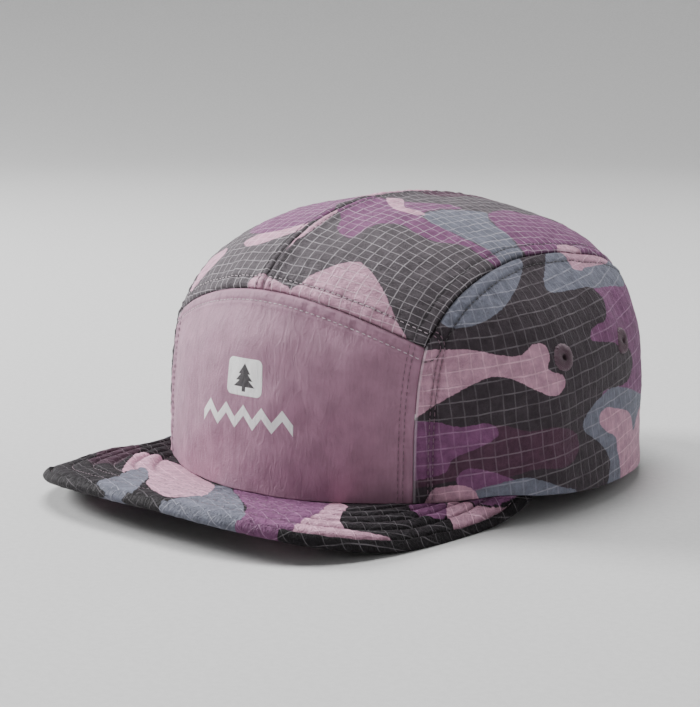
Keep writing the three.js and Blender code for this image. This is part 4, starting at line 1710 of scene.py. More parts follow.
@dataclass
class Panel:
    """One sewn panel of the crown. Sizes in millimetres."""

    name: str
    crown: Crown
    place: Place
    columns: int
    rows: int
    seams: tuple[Edge, ...]
    stitching: tuple[StitchRow, ...]
    prints: tuple[Blob, ...]
    across_axis: tuple[float, float, float]
    middle_row: int
    middle_column: int
    seed: int
    flat: tuple[float, float]
    flat_area: float
    side: Side = Side.LEFT
    half_gap: float = 0.05
    span: float = 100
    crowding: float = 0.45
    roll: float = 0.9
    roll_width: float = 1.3
    welt: float = 0.35
    welt_rise: tuple[float, float] = (0.4, 1.8)
    welt_fall: tuple[float, float] = (4.4, 7.2)
    groove: float = 0.4
    groove_width: float = 0.75
    gather_spread: float = 3.4
    crinkle: float = 0.16
    slack: float = 0.45
    calm: float = 9
    inner_share: float = 0.6
    creases: tuple[Ripple, ...] = CRUMPLED
    # The seam edge that gets a painted highlight instead of painted shade.
    highlit_edge: Edge | None = None
    holes: tuple[np.ndarray, ...] = ()
    hole_radius: float = 2.3

    def shares(self, count: int, low: bool, high: bool) -> np.ndarray:
        """Shares along a patch, closer together near its edges.

        Args:
            count: How many cells there are.
            low: True where the first edge is a seam, which draws the cloth in.
            high: True where the last edge is one.

        Returns:
            The shares.
        """
        even = np.linspace(0, 1, count + 1)
        crowded = even - self.crowding * np.sin(2 * np.pi * even) / (2 * np.pi)
        inset = self.half_gap / self.span
        return lerp(inset if low else 0, 1 - inset if high else 1, crowded)

    def build_form(self) -> None:
        """Work out the panel's points, its cloth coordinates and the distances from its edges."""
        along = self.shares(self.columns, Edge.START in self.seams, Edge.END in self.seams)
        up = self.shares(self.rows, Edge.LOW in self.seams, Edge.HIGH in self.seams)
        place = self.place(*np.meshgrid(along, up))
        self.base = self.crown.point(place[..., 0], place[..., 1])
        self.normal = self.crown.outward(place[..., 0], place[..., 1])
        self.fabric = self.cloth_coordinates()
        self.distance = {}
        self.station = {}
        way_along = np.linspace(0, 1, 500)
        way_up = np.linspace(0, 1, 400)
        edges = {
            Edge.LOW: (way_along, np.zeros(500)),
            Edge.HIGH: (way_along, np.ones(500)),
            Edge.START: (np.zeros(400), way_up),
            Edge.END: (np.ones(400), way_up),
        }
        for edge, shares in edges.items():
            on_edge = self.place(*shares)
            line = self.crown.point(on_edge[..., 0], on_edge[..., 1])
            self.distance[edge], self.station[edge] = self.nearest(line)
        offset = self.surface_offset()
        flip = np.array([self.side.value, 1, 1])
        self.outer = (self.base + self.normal * offset[..., None]) * flip
        depth = offset * self.inner_share - self.crown.wall
        self.inner = (self.base + self.normal * depth[..., None]) * flip
        self.out = grid_normals(self.outer) * self.side.value

    def nearest(self, line: np.ndarray) -> tuple[np.ndarray, np.ndarray]:
        """The distance from each point of the panel to a line, and where along the line it is nearest.

        Args:
            line: Points along the line.

        Returns:
            The distances and the lengths along the line, as grids.
        """
        length = run_length(line)
        flat = self.base.reshape(-1, 3)
        best = np.empty(len(flat))
        where = np.empty(len(flat))
        chunk = 4000
        for start in range(0, len(flat), chunk):
            part = flat[start:start + chunk]
            square = ((part[:, None, :] - line[None]) ** 2).sum(-1)
            pick = np.clip(square.argmin(1), 1, len(line) - 2)
            rows = np.arange(len(part))
            before = square[rows, pick - 1]
            here = square[rows, pick]
            after = square[rows, pick + 1]
            bend = np.maximum(before + after - 2 * here, 1e-9)
            shift = np.clip((before - after) / (2 * bend), -1, 1)
            best[start:start + chunk] = np.sqrt(np.maximum(here - (before - after) * shift / 4, 0))
            where[start:start + chunk] = length[pick] + shift * (length[pick + 1] - length[pick])
        shape = self.base.shape[:2]
        return best.reshape(shape), where.reshape(shape)

    def cloth_coordinates(self) -> np.ndarray:
        """Lay the panel flat.

        Returns:
            Millimetres across and up the cloth, counted from the panel's middle.
        """
        across = unit(np.cross(np.array(self.across_axis), self.normal))
        upward = np.cross(self.normal, across)
        fabric = np.zeros((*self.base.shape[:2], 2))
        row = self.middle_row
        for direction in (1, -1):
            last = self.columns if direction > 0 else 0
            for column in range(self.middle_column + direction, last + direction, direction):
                step = self.base[row, column] - self.base[row, column - direction]
                mean_across = across[row, column] + across[row, column - direction]
                mean_up = upward[row, column] + upward[row, column - direction]
                before = fabric[row, column - direction]
                fabric[row, column] = before + [step @ mean_across / 2, step @ mean_up / 2]
        for direction in (1, -1):
            last = self.rows if direction > 0 else 0
            for row in range(self.middle_row + direction, last + direction, direction):
                step = self.base[row] - self.base[row - direction]
                mean_across = across[row] + across[row - direction]
                mean_up = upward[row] + upward[row - direction]
                fabric[row, :, 0] = fabric[row - direction, :, 0] + (step * mean_across).sum(-1) / 2
                fabric[row, :, 1] = fabric[row - direction, :, 1] + (step * mean_up).sum(-1) / 2
        return fabric

    def surface_offset(self) -> np.ndarray:
        """How far rolls, welts, stitch grooves, puckers and creases move the cloth out.

        Returns:
            The offsets in millimetres.
        """
        u = self.fabric[..., 0]
        v = self.fabric[..., 1]
        nearest_seam = np.min([self.distance[edge] for edge in self.seams], axis=0)
        fine = self.crinkle * ripples(self.creases, u, v, self.seed)
        broad = self.slack * ripples(BROAD, u, v, self.seed)
        offset = (fine + broad) * smoothstep(nearest_seam, 0, self.calm)
        for edge in self.seams:
            far = self.distance[edge]
            near = np.clip(1 - far / self.roll_width, 0, 1)
            offset -= self.roll * (1 - np.sqrt(1 - near**2))
            offset += self.welt * (1 - smoothstep(far, *self.welt_fall)) * smoothstep(far, *self.welt_rise)
        for row in self.stitching:
            far = self.distance[row.edge]
            offset -= self.groove * bell((far - row.distance) / self.groove_width)
            gather = ripples(GATHERED, self.station[row.edge], far, self.seed)
            past_row = smoothstep(far, row.distance - 0.6, row.distance + 1.2)
            between = smoothstep(far, 0.6, 1.8) * (1 - past_row)
            beyond = bell((far - row.distance) / self.gather_spread)
            offset += row.gather * gather * np.maximum(between, 0.75 * beyond)
        return offset

    def finish_fields(self, used: np.ndarray) -> dict[str, np.ndarray]:
        """The values that the camouflage finish reads.

        Args:
            used: Which points of the outer and the inner grid the piece has.

        Returns:
            Each value at each point, by its name.
        """
        fields = printed(self.prints, self.fabric.reshape(-1, 2))
        # Painted shade: darker along each stitch row and in the grooves of the seams, except along the
        # highlit edge.
        shade_painted_on_rows = [bell((self.distance[row.edge] - row.distance) / 0.8) for row in self.stitching]
        seams = [0.9 * bell(self.distance[edge] / 0.7) for edge in self.seams if edge is not self.highlit_edge]
        shade = np.max([0.45 * np.max(shade_painted_on_rows, axis=0), np.max(seams, axis=0)], axis=0)
        fields["painted_shade_field"] = shade.reshape(-1)
        # Painted highlight: a pale line along the folded edge of the seam.
        if self.highlit_edge:
            fields["painted_edge_highlight"] = 1 - smoothstep(self.distance[self.highlit_edge].reshape(-1), 0.55, 1.15)
        return {name: np.concatenate([values, values])[used] for name, values in fields.items()}

    def row_path(self, row: StitchRow) -> tuple[np.ndarray, np.ndarray]:
        """The path of a row of stitches.

        Args:
            row: The row.

        Returns:
            Points on the cloth and the direction out at each.
        """
        far = self.distance[row.edge]
        grid = np.concatenate([self.outer, self.out], -1)
        if row.edge in (Edge.START, Edge.END):
            far = far.T
            grid = grid.transpose(1, 0, 2)
        if row.edge in (Edge.HIGH, Edge.END):
            far = far[::-1]
            grid = grid[::-1]
        beyond = np.argmax(far > row.distance, axis=0)
        beyond = np.maximum(beyond, 1)
        index = np.arange(far.shape[1])
        before = far[beyond - 1, index]
        share = (row.distance - before) / np.maximum(far[beyond, index] - before, 1e-6)
        path = lerp(grid[beyond - 1, index], grid[beyond, index], np.clip(share, 0, 1)[:, None])
        inside = slice(2, -2)
        return path[inside, :3], path[inside, 3:]

    def make(self, material: bpy.types.Material, stitcher: Stitcher, slot: str) -> bpy.types.Object:
        """Build the panel and sew its rows.

        Args:
            material: The cloth.
            stitcher: Gathers the rows of stitches.
            slot: The material slot.

        Returns:
            The panel's object.
        """
        self.build_form()
        middle = (self.outer[:-1, :-1] + self.outer[1:, 1:]) / 2
        keep = np.ones(middle.shape[:2], bool)
        for centre in self.holes:
            keep &= np.linalg.norm(middle - centre, axis=-1) > self.hole_radius
        points, faces, used = Mesher.shell(self.outer, self.inner, keep, self.side is Side.RIGHT)
        fabric = np.concatenate([self.fabric.reshape(-1, 2)] * 2)[used]
        fields = self.finish_fields(used) if self.prints else {}
        piece = Mesher.build(self.name + "_cloth", to_frame(points), faces, material, fabric, fields)
        Mesher.settle(piece, slot, [self.name])
        for row in self.stitching:
            path, out = self.row_path(row)
            stitcher.sew(row.yarn.value, to_frame(path), out)
            if row.dark_crossbars:
                stitcher.sew(Yarn.DARK.value, to_frame(path), out, crosswise=True)
        return piece


def frame_shift() -> np.ndarray:
    """How far the part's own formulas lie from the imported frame, measured at the brim's front edge.

    Returns:
        The shift in millimetres.
    """
    low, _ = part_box("brim")
    front = Brim.middle() - Brim.corner_depth
    return np.array([0, low[1] / MM - front, 0])


def to_frame(points: np.ndarray) -> np.ndarray:
    """Move points from the crown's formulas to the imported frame, in millimetres."""
    return points + SHIFT


@dataclass
class Brim:
    """The soft brim: two cloths over a thin filling, sewn in rows. Sizes in millimetres."""

    crown: Crown
    stitcher: Stitcher
    half_width: float = 84.4
    squareness: float = 3.37
    thickness: float = 4
    end_angle: float = 75
    end_thickness: float = 2
    top_front: float = 14.2
    top_side: float = 3.4
    fall: float = 1.5
    twist: float = 0.8
    edge_round: float = 3
    crowning: float = 1.2
    gap: float = 0.3
    columns: int = 460
    rows: int = 78
    row_margin: float = 2
    least_columns: int = 10
    crowding: float = 1.35
    first_row: float = 3.4
    row_pitch: float = 8
    row_count: int = 6
    puff: float = 1.0
    groove: float = 0.7
    groove_width: float = 0.8
    crumple: float = 0.34
    ridge_lengths: tuple[float, float] = (4.6, 5.4)
    ridge_share: float = 0.45
    gathers: Ripple = Ripple(0.5, 2.1, 4, layer=1)
    waves: Ripple = Ripple(0.3, 14, 16, layer=2)
    middle_share: float = 0.2
    dark_edge_start: float = 60
    edge_roll: float = 0.5
    edge_groove: float = 0.9
    edge_band: float = 2.9
    # How dark the painted shade is along the rows, over the edge band and over the whole underside.
    painted_row_darkness: float = 0.7
    painted_band_darkness: float = 0.3
    painted_underside_darkness: float = 0.4
    far_lift: float = 3.2
    far_lift_place: float = -72
    far_lift_spread: float = 15
    seed: int = 71

    reach: ClassVar[float] = 51.8
    corner_depth: ClassVar[float] = 86.2

    @staticmethod
    def middle() -> float:
        """Where the outline's half axes cross, front to back."""
        return Brim.corner_depth - Crown.front_reach - Brim.reach

    def outline(self) -> tuple[np.ndarray, np.ndarray]:
        """The brim's edge.

        Returns:
            Points along the edge and the length up to each.
        """
        turn = np.pi * (np.linspace(0, 1, 97) - 0.5)
        power = 2 / self.squareness
        across = self.half_width * signed_power(np.sin(turn), power)
        along = self.middle() - self.corner_depth * signed_power(np.cos(turn), power)
        height = lerp(self.top_side, self.top_front, np.maximum(np.cos(turn), 0) ** self.fall)
        far = bell((along - self.far_lift_place) / self.far_lift_spread) * (across < 0)
        edge = np.stack([across, along, height - self.twist * np.sin(turn) + self.far_lift * far], -1)
        end = np.array(math.radians(self.end_angle))
        end_across, end_along = self.crown.plan(end)
        share = np.linspace(0, 1, 5)[1:, None]
        parts = []
        for sign, corner in ((-1, edge[0]), (1, edge[-1])):
            tip = np.array([sign * end_across, end_along, self.crown.hem_height(end) - self.gap])
            lead = lerp(corner, tip, share)
            lead[:, 2] = lerp(corner[2], tip[2], share[:, 0] ** 2)
            parts.append(lead)
        route = np.concatenate([parts[0][::-1], edge, parts[1]])
        return route, run_length(route)

    def form(self) -> tuple[np.ndarray, np.ndarray, np.ndarray, np.ndarray]:
        """The two faces of the brim.

        Returns:
            The upper and lower grids, the distance from the edge and the length along it.
        """
        route, length = self.outline()
        along, row = np.meshgrid(np.linspace(0, 1, self.columns + 1), np.linspace(0, 1, self.rows + 1))
        angle = lerp(-1, 1, along) * math.radians(self.end_angle)
        place = self.crown.on_hem(angle)
        hem = self.crown.point(place[..., 0], place[..., 1], self.crown.wall)
        share = length / length[-1]
        edge = np.stack([np.interp(along, share, route[:, k]) for k in range(3)], -1)
        width = np.hypot(edge[..., 0] - hem[..., 0], edge[..., 1] - hem[..., 1])
        spread = row**self.crowding
        distance = width * spread
        across = 1 - spread
        hem_top = self.crown.hem_height(angle) - self.gap
        crowning = self.crowning * np.sin(np.pi * across) * np.minimum(width / self.reach, 1)
        top = lerp(hem_top, edge[..., 2], smoothstep(across, 0, 1)) + crowning
        thickness = lerp(self.end_thickness, self.thickness, smoothstep(width, 0, self.reach / 2))
        from_edge = np.minimum(distance / self.edge_round, 1)
        half = thickness / 2 * np.sqrt(1 - (1 - from_edge) ** 2)
        station = along * length[-1]
        sewn, gathers = self.sewing(distance, station, width)
        fade = np.clip(thickness / self.thickness, 0, 1) * np.minimum(from_edge * 2, 1)
        lift = sewn * fade + gathers * fade
        plan = lerp(hem[..., :2], edge[..., :2], across[..., None])
        middle = top - thickness / 2
        self.smooth_upper = np.concatenate([plan, (middle + half)[..., None]], -1)
        self.smooth_lower = np.concatenate([plan, (middle - half)[..., None]], -1)
        upper = np.concatenate([plan, (middle + half + lift)[..., None]], -1)
        under = np.maximum(middle - half - 0.5 * sewn * fade + 0.7 * gathers * fade, 0)
        lower = np.concatenate([plan, under[..., None]], -1)
        upper[0] = lower[0] = np.concatenate([plan[0], np.maximum(middle[0], 0)[:, None]], -1)
        return upper, lower, distance, station

    def sewing(self, distance: np.ndarray, station: np.ndarray,
               width: np.ndarray) -> tuple[np.ndarray, np.ndarray]:
        """How the sewn rows shape the cloth.

        Args:
            distance: Distance from the brim's edge.
            station: Length along the edge.
            width: The brim's width there.

        Returns:
            The channels between the rows, and the small gathers across them.
        """
        share = (distance - self.first_row) / self.row_pitch
        inside = (share > 0) & (share < self.row_count - 1)
        part = np.where(inside, share - np.floor(share), 0)
        fullness = self.fullness(station)
        channel = self.puff * (1 - (2 * part - 1) ** 2) * inside * fullness
        rolled = self.edge_roll * np.sin(np.pi * np.clip(distance / self.first_row, 0, 1))
        nearest = self.from_row(distance)
        groove = np.maximum(self.groove * fullness * bell(nearest / self.groove_width),
                            self.edge_groove * bell((distance - self.first_row) / self.groove_width))
        along, across = self.ridge_lengths
        ridges = 1 - np.abs(noise((station + distance) / along, (station - distance) / across, self.seed)) * 2
        fine = self.ridge_share * ridges + self.gathers.at(station, distance, self.seed)
        gathered = self.crumple * fine * (0.6 + 0.4 * bell(nearest / 2.6))
        gathered = gathered + self.waves.at(station, distance, self.seed)
        at_hem = smoothstep(width - distance, 0, 6)
        return (channel + rolled - groove) * at_hem, gathered * at_hem

    def from_row(self, distance: np.ndarray) -> np.ndarray:
        """The distance to the nearest sewn row, at a distance from the edge."""
        row = np.clip(np.round((distance - self.first_row) / self.row_pitch), 0, self.row_count - 1)
        return np.abs(distance - self.first_row - self.row_pitch * row)

    def fullness(self, station: np.ndarray) -> np.ndarray:
        """How far the rows stand out along the edge: most at the corners, least in the middle."""
        from_middle = np.abs(station / station.max() - 0.5) * 2
        return lerp(self.middle_share, 1, smoothstep(from_middle, 0.25, 0.5))

    @staticmethod
    def cloth_coordinates(upper: np.ndarray, lower: np.ndarray) -> np.ndarray:
        """Lay both faces flat, outwards from the hem and round the edge.

        Args:
            upper: The upper face.
            lower: The lower face.

        Returns:
            The cloth coordinates of the upper face's points and then of the lower face's.
        """
        hem = upper[-1, :, :2]
        way = upper[0, :, :2] - hem
        way = way / np.maximum(np.linalg.norm(way, axis=-1, keepdims=True), 1e-6)
        start = np.zeros((1, len(hem)))
        steps = np.linalg.norm(np.diff(upper[::-1], axis=0), axis=-1)
        out = np.concatenate([start, np.cumsum(steps, axis=0)])[::-1]
        steps = np.linalg.norm(np.diff(lower, axis=0), axis=-1)
        under = out[0] + np.concatenate([start, np.cumsum(steps, axis=0)])
        lengths = np.concatenate([out, under])
        return (np.concatenate([hem[None]] * len(lengths)) + way * lengths[..., None]).reshape(-1, 2)

    def make(self, material: bpy.types.Material) -> None:
        """Build the brim and sew its rows.

        Args:
            material: The cloth.
        """
        upper, lower, distance, station = self.form()
        keep = np.ones((self.rows, self.columns), bool)
        points, faces, used = Mesher.shell(upper, lower, keep, False, True)
        plan = np.concatenate([upper[..., :2].reshape(-1, 2), lower[..., :2].reshape(-1, 2)])[used]
        fabric = self.cloth_coordinates(self.smooth_upper, self.smooth_lower)[used]
        in_band = (distance < self.edge_band).reshape(-1)
        band = np.concatenate([in_band, in_band])[used] & (plan[:, 0] > self.dark_edge_start)
        under = np.concatenate([np.zeros_like(in_band), ~in_band])[used]
        top_print = printed(BRIM_PRINT, plan)
        under_print = printed(UNDER_PRINT, plan)
        fields = {}
        for name, depth in top_print.items():
            fields[name] = np.where(band, OUTSIDE, np.where(under, under_print[name], depth))
        # Painted shade: darker along the sewn rows, in the groove behind the edge, over the edge band and
        # over the whole underside.
        rows = self.painted_row_darkness * bell(self.from_row(distance)) * self.fullness(station)
        shade = np.maximum(rows, bell((distance - self.edge_band - 0.2) / 0.8))
        shade = np.maximum(shade, self.painted_band_darkness * (distance < self.edge_band)).reshape(-1)
        fields["painted_shade_field"] = np.concatenate([shade, 0 * shade + self.painted_underside_darkness])[used]
        piece = Mesher.build("brim_cloth", to_frame(points), faces, material, fabric, fields)
        Mesher.settle(piece, "camouflage_cloth", ["brim"])
        sides = ((upper, grid_normals(upper)), (lower, -grid_normals(lower)))
        for number in range(self.row_count):
            for grid, out in sides:
                self.sew_row(self.first_row + number * self.row_pitch, distance, grid, out)

    def sew_row(self, far: float, distance: np.ndarray, grid: np.ndarray, out: np.ndarray) -> None:
        """Sew one row at a distance from the edge.

        Args:
            far: The row's distance from the edge.
            distance: Each grid point's distance from the edge.
            grid: The face that the row is sewn on.
            out: Its direction out.
        """
        columns = np.flatnonzero(distance[-1] > far + self.row_margin)
        if len(columns) < self.least_columns:
            return
        beyond = np.argmax(distance[:, columns] > far, axis=0)
        before = distance[beyond - 1, columns]
        share = (far - before) / (distance[beyond, columns] - before)
        both = np.concatenate([grid, out], -1)
        path = lerp(both[beyond - 1, columns], both[beyond, columns], share[:, None])
        self.stitcher.sew("brim", to_frame(path[:, :3]), path[:, 3:])


@dataclass(frozen=True)
class Eyelet:
    """An embroidered air hole. Sizes in millimetres."""

    name: str
    crown: Crown
    angle: float
    side: Side
    height: float = 57
    radius: float = 5
    bore: float = 1.25
    sleeve: float = 1.3
    rise: float = 1.15
    foot_rise: float = 0.15
    skirt_depth: float = 0.2
    thread_relief: float = 0.26
    thread_wobble: float = 0.06
    edge_wobble: float = 0.22
    threads: int = 44
    columns: int = 264

    def place(self) -> tuple[np.ndarray, np.ndarray]:
        """Find the eyelet on the crown, in the crown's formulas.

        Returns:
            Its centre on the cloth and its direction out.
        """
        turn = np.array(math.radians(self.angle))
        low = self.crown.lift.at(turn)
        rise = (self.height - low) / (self.crown.height - low)
        disc = self.crown.on_hem(turn) * (1 - 2 / np.pi * np.arcsin(rise))
        flip = np.array([self.side.value, 1, 1])
        return self.crown.point(disc[0], disc[1]) * flip, self.crown.outward(disc[0], disc[1]) * flip

    def make(self, material: bpy.types.Material) -> None:
        """Build the ring of satin stitches round the hole.

        Args:
            material: The thread.
        """
        centre, out = self.place()
        across = unit(np.cross(np.array([0.0, 0.0, 1.0]), out))
        upward = np.cross(out, across)
        share = np.linspace(0, 1, 15)
        top_radius = lerp(self.bore, self.radius, share)
        arch = np.sin(np.pi * np.clip(share * 0.86 + 0.14, 0, 1)) ** 0.55
        top_height = self.foot_rise + self.rise * arch
        deep = -self.crown.wall
        skirt = -self.skirt_depth
        sleeve = self.bore + self.sleeve
        below = [[self.radius, skirt], [sleeve, skirt], [sleeve, deep], [self.bore, deep], [self.bore, skirt]]
        profile = np.concatenate([np.stack([top_radius, top_height], -1), below])
        turn = np.linspace(0, 2 * np.pi, self.columns, endpoint=False)
        thread = np.abs(np.sin(turn * self.threads / 2)) ** 0.7
        number = np.arange(self.columns) * self.threads // self.columns
        wobble = lattice(number, np.full(self.columns, 3), 9)
        on_top = np.zeros(len(profile))
        on_top[: len(share)] = np.sin(np.pi * share) ** 0.5
        relief = self.thread_relief * (thread - 0.6) + self.thread_wobble * wobble
        height = profile[:, None, 1] + 0 * turn + on_top[:, None] * relief
        outer = np.zeros(len(profile))
        outer[len(share) - 3: len(share) + 1] = 1
        radius = profile[:, None, 0] + 0 * turn + outer[:, None] * self.edge_wobble * wobble
        plane = np.cos(turn)[None, :, None] * across + np.sin(turn)[None, :, None] * upward
        grid = centre + radius[..., None] * plane + height[..., None] * out
        fabric = np.stack([radius, np.broadcast_to(turn, radius.shape) * self.threads / (2 * np.pi)], -1)
        points = to_frame(grid.reshape(-1, 3))
        faces = Mesher.tube(grid, True)
        piece = Mesher.build(self.name + "_thread", points, faces, material, fabric.reshape(-1, 2))
        Mesher.settle(piece, "thread", [self.name])


@dataclass
class BackStrap:
    """The strap across the back arch and its plain clasp. Sizes in millimetres."""

    crown: Crown
    height: float = 20
    lift: float = 2.5
    thickness: float = 1.6
    overlap: float = 14
    gap: float = 0.3
    clasp_width: float = 34
    clasp_height: float = 24
    clasp_thickness: float = 5
    strap_rounding: float = 0.8
    clasp_rounding: float = 1.6
    squareness: float = 0.35
    swings: int = 32

    def curve(self, turn: np.ndarray, height: np.ndarray, depth: np.ndarray) -> np.ndarray:
        """A point of the strap's curve.

        Args:
            turn: The angle from the middle of the back.
            height: Its height.
            depth: How far in from the cloth.

        Returns:
            The point.
        """
        low = self.crown.lift.back
        rise = (height - low) / (self.crown.height - low)
        disc = self.crown.on_hem(np.pi + turn) * (1 - 2 / np.pi * np.arcsin(rise))[..., None]
        point = self.crown.point(disc[..., 0], disc[..., 1])
        out = self.crown.outward(disc[..., 0], disc[..., 1])
        point = point - out * depth[..., None]
        point[..., 2] = height
        return point

    def slab(self, half_turn: float, low: float, high: float, depth: float, thickness: float,
             rounding: float, columns: int, radius: float) -> tuple[np.ndarray, np.ndarray, np.ndarray]:
        """A curved slab with rounded edges.

        Args:
            half_turn: Half of the angle that it spans.
            low: Its lower edge.
            high: Its upper edge.
            depth: The depth of its middle below the cloth's face.
            thickness: Its thickness.
            rounding: The radius of its edges.
            columns: How finely it is divided along its length.
            radius: The curve's radius, for its cloth coordinates.

        Returns:
            Its points, faces and cloth coordinates.
        """
        swing = np.linspace(0, 2 * np.pi, self.swings + 1)[:-1]
        half_height = (high - low) / 2
        corner_height = signed_power(np.sin(swing), np.array(self.squareness))
        corner_depth = signed_power(np.cos(swing), np.array(self.squareness))
        turn = np.linspace(-half_turn, half_turn, columns)
        end = np.minimum((half_turn - np.abs(turn)) * radius / rounding, 1)
        shrink = np.sqrt(np.clip(1 - (1 - end) ** 2, 0.02, 1))
        grid_turn = np.repeat(turn[:, None], len(swing), 1)
        height = (low + high) / 2 + corner_height * (half_height - rounding * (1 - shrink[:, None]))
        inward = depth - corner_depth * thickness / 2 * shrink[:, None]
        grid = self.curve(grid_turn, height, inward)
        fabric = np.stack([grid_turn * radius, height], -1)
        return grid.reshape(-1, 3), Mesher.bar(grid), fabric.reshape(-1, 2)

    def make(self, finishes: Finishes) -> None:
        """Build the strap and the clasp.

        Args:
            finishes: The cap's finishes.
        """
        depth = self.crown.wall + self.gap + self.thickness / 2
        foot = self.crown.arch_foot
        across, _ = self.crown.plan(np.array(foot))
        radius = float(across) / math.sin(math.pi - foot)
        end = math.pi - foot + self.overlap / radius
        top = self.lift + self.height
        grow = (self.clasp_height - self.height) / 2
        half = self.clasp_width / 2 / radius
        strap = (end, self.lift, top, depth, self.thickness, self.strap_rounding, 180)
        clasp = (half, self.lift - grow, top + grow, depth, self.clasp_thickness, self.clasp_rounding, 60)
        for name, sizes, finish in (("webbing", strap, finishes.webbing), ("clasp", clasp, finishes.clasp)):
            points, faces, fabric = self.slab(*sizes, radius)
            piece = Mesher.build("back_strap_" + name, to_frame(points), faces, finish, fabric)
            Mesher.settle(piece, "webbing", ["back_strap"])


@dataclass
class Cap:
    """The whole cap."""

    crown: Crown = field(default_factory=Crown)
    stitcher: Stitcher = field(default_factory=Stitcher)
    brim_stitcher: Stitcher = field(default_factory=lambda: Stitcher(width=0.22, rise=0.12))
    eyelet_angles: tuple[tuple[str, float], ...] = (("front", 87.5), ("back", 111.5))

    def front_panel(self) -> Panel:
        """The plain front panel.

        Returns:
            The panel.
        """
        foot = self.crown.front_foot
        seam = self.crown.front_seam
        place = patch(
            self.crown.hem_between(-foot, foot),
            self.crown.whole_brow,
            lambda share: seam(share) * np.array([-1, 1]),
            seam,
        )
        return Panel(
            "front_panel", self.crown, place, 236, 112, (Edge.HIGH, Edge.START, Edge.END),
            (
                StitchRow(Edge.HIGH, 4.6, Yarn.PALE, 0.16),
                StitchRow(Edge.START, 3.5, Yarn.MAUVE, 0.2),
                StitchRow(Edge.START, 5.3, Yarn.MAUVE, 0.16),
                StitchRow(Edge.END, 3.5, Yarn.MAUVE, 0.2),
                StitchRow(Edge.END, 5.3, Yarn.MAUVE, 0.16),
            ),
            (), (0, 0, 1), 56, 118, 11, (142, 75), 9270, crinkle=0.15, slack=0.6, creases=UPRIGHT,
        )

    def side_panel(self, side: Side) -> Panel:
        """The side panel of one side.

        Args:
            side: The wearer's side.

        Returns:
            The panel.
        """
        place = patch(
            self.crown.hem_between(self.crown.front_foot, self.crown.arch_foot),
            self.crown.ridge(),
            self.crown.front_seam,
            self.crown.arch_low,
        )
        left = side is Side.LEFT
        holes = tuple(self.eyelet(name, angle, side).place()[0] for name, angle in self.eyelet_angles)
        return Panel(
            "side_panel_left" if left else "side_panel_right", self.crown, place, 240, 116,
            (Edge.HIGH, Edge.START),
            (
                StitchRow(Edge.HIGH, 5.2, Yarn.DARK, 0.32),
                StitchRow(Edge.START, 5.2, Yarn.MAUVE, 0.2),
                StitchRow(Edge.START, 6.8, Yarn.MAUVE, 0.12),
                StitchRow(Edge.END, 5, Yarn.DARK),
            ),
            SIDE_PRINT if left else OTHER_SIDE_PRINT, (0, 0, 1), 58, 120, 21 if left else 121,
            (191, 100), 14900, side,
            highlit_edge=Edge.START, holes=holes,
        )

    def top_panel(self, side: Side) -> Panel:
        """The top panel of one side.

        Args:
            side: The wearer's side.

        Returns:
            The panel.
        """
        brow = self.crown.brow_seam
        place = patch(
            self.crown.ridge(),
            self.crown.centre_seam,
            lambda share: brow(1 - share),
            self.crown.arch_high,
        )
        left = side is Side.LEFT
        return Panel(
            "top_panel_left" if left else "top_panel_right", self.crown, place, 280, 84,
            (Edge.LOW, Edge.HIGH, Edge.START),
            (
                StitchRow(Edge.START, 4.9, Yarn.PALE, 0.36, True),
                StitchRow(Edge.LOW, 5.2, Yarn.DARK, 0.34),
                StitchRow(Edge.HIGH, 3.3, Yarn.DARK),
                StitchRow(Edge.END, 5, Yarn.DARK),
            ),
            TOP_PRINT if left else OTHER_TOP_PRINT, (1, 0, 0), 84, 140, 41 if left else 141,
            (248, 69), 13020, side,
        )

    def eyelet(self, name: str, angle: float, side: Side) -> Eyelet:
        """One eyelet of one side."""
        label = "left" if side is Side.LEFT else "right"
        return Eyelet(f"eyelet_{label}_{name}", self.crown, angle, side)

    def make(self, finishes: Finishes) -> None:
        """Build every piece of the cap.

        Args:
            finishes: Their finishes.
        """
        self.front_panel().make(finishes.front, self.stitcher, "plain_cloth")
        for side in Side:
            self.side_panel(side).make(finishes.side, self.stitcher, "camouflage_cloth")
            self.top_panel(side).make(finishes.top, self.stitcher, "camouflage_cloth")
            for name, angle in self.eyelet_angles:
                self.eyelet(name, angle, side).make(finishes.eyelet_thread)
        Brim(self.crown, self.brim_stitcher).make(finishes.brim)
        BackStrap(self.crown).make(finishes)
        self.stitcher.finish(Yarn.PALE.value, "pale_topstitching", finishes.light_thread)
        self.stitcher.finish(Yarn.MAUVE.value, "mauve_topstitching", finishes.mauve_thread)
        self.stitcher.finish(Yarn.DARK.value, "dark_topstitching", finishes.dark_thread)
        self.brim_stitcher.finish("brim", "brim_topstitching", finishes.brim_thread)


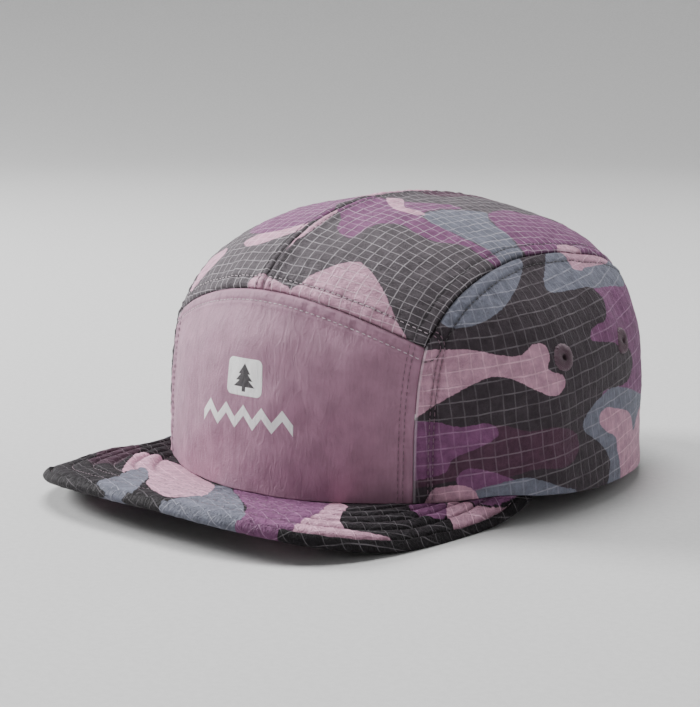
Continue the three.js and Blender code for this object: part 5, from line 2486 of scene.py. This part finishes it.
@dataclass(frozen=True)
class Studio:
    """The pale floor, the soft lights and the camera. Lengths in metres."""

    floor_radius: float = 1.5
    sweep_radius: float = 1.3
    target: tuple[float, float, float] = (-0.00148, -0.00844, 0.04962)
    azimuth: float = 42.545
    elevation: float = 10.0
    distance: float = 0.78133
    focal_pixels: float = 2053.48
    long_side_pixels: int = 707
    sensor: float = 36
    wall_height: float = 3.2
    grey: Colour = (0.62, 0.62, 0.62, 1)
    daylight: float = 0.12
    lights: tuple[tuple[str, tuple[float, float, float], float, float], ...] = (
        ("key", (-1.55, -0.55, 0.92), 0.7, 55),
        ("top", (-0.35, 0.2, 1.5), 0.8, 27),
        ("fill", (1.3, -1.1, 0.7), 1.1, 0.6),
        ("rim", (0.5, 1.5, 0.75), 0.7, 4),
    )

    def floor(self) -> None:
        """A round floor that sweeps up into its backdrop."""
        bend = np.linspace(0, np.pi / 2, 24)
        level = np.linspace(0.002, self.floor_radius, 30)
        rim = self.floor_radius + self.sweep_radius * np.sin(bend)
        radius = np.concatenate([level, rim, rim[-1:]])
        height = np.concatenate([0 * level, self.sweep_radius * (1 - np.cos(bend)), [self.wall_height]])
        turn = np.linspace(0, 2 * np.pi, 96, endpoint=False)
        around = np.stack([np.cos(turn), np.sin(turn)], -1)
        upright = np.broadcast_to(height[:, None, None], (len(height), len(turn), 1))
        grid = np.concatenate([radius[:, None, None] * around, upright], -1)
        faces = Mesher.tube(grid, False)[:, ::-1]
        material, sheet, shader = sheet_of("pale floor")
        speck = sheet.noise(sheet.node("ShaderNodeTexCoord").outputs["Object"], 400, 3)
        tone = sheet.ease(speck.outputs["Fac"], 0.3, 0.7, 0.97, 1.03)
        sheet.put(shader, Base_Color=sheet.lit(self.grey, tone), Roughness=0.8)
        piece = Mesher.build("floor", grid.reshape(-1, 3) / MM, faces, material)

    def light(self, name: str, place: tuple[float, float, float], size: float, power: float) -> None:
        """Add a soft square light that faces the cap.

        Args:
            name: The light's name.
            place: Where it stands.
            size: The side of its square.
            power: Its power in watts.
        """
        data = bpy.data.lights.new(name, "AREA")
        data.size = size
        data.energy = power
        lamp = bpy.data.objects.new(name, data)
        lamp.location = place
        lamp.rotation_euler = (Vector(self.target) - Vector(place)).to_track_quat("-Z", "Y").to_euler()
        bpy.context.scene.collection.objects.link(lamp)

    def camera(self) -> None:
        """The camera at the photograph's angle."""
        turn = math.radians(self.azimuth)
        rise = math.radians(self.elevation)
        away = Vector((math.sin(turn) * math.cos(rise), -math.cos(turn) * math.cos(rise), math.sin(rise)))
        data = bpy.data.cameras.new("camera")
        data.sensor_fit = "AUTO"
        data.sensor_width = self.sensor
        data.lens = self.focal_pixels / self.long_side_pixels * self.sensor
        data.clip_start = 0.01
        camera = bpy.data.objects.new("camera", data)
        camera.location = Vector(self.target) + away * self.distance
        camera.rotation_euler = (-away).to_track_quat("-Z", "Y").to_euler()
        bpy.context.scene.collection.objects.link(camera)
        bpy.context.scene.camera = camera

    def make(self) -> None:
        """Set up the whole studio."""
        self.floor()
        for light in self.lights:
            self.light(*light)
        world = bpy.data.worlds.new("studio")
        world.use_nodes = True
        background = world.node_tree.nodes["Background"]
        background.inputs["Color"].default_value = (1, 1, 1, 1)
        background.inputs["Strength"].default_value = self.daylight
        bpy.context.scene.world = world
        self.camera()


SHIFT = frame_shift()


def main() -> None:
    """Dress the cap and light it."""
    logging.basicConfig(level=logging.INFO, format="%(name)s %(message)s")
    finishes = Finishes()
    Cap().make(finishes)
    Studio().make()


if __name__ == "__main__":
    main()
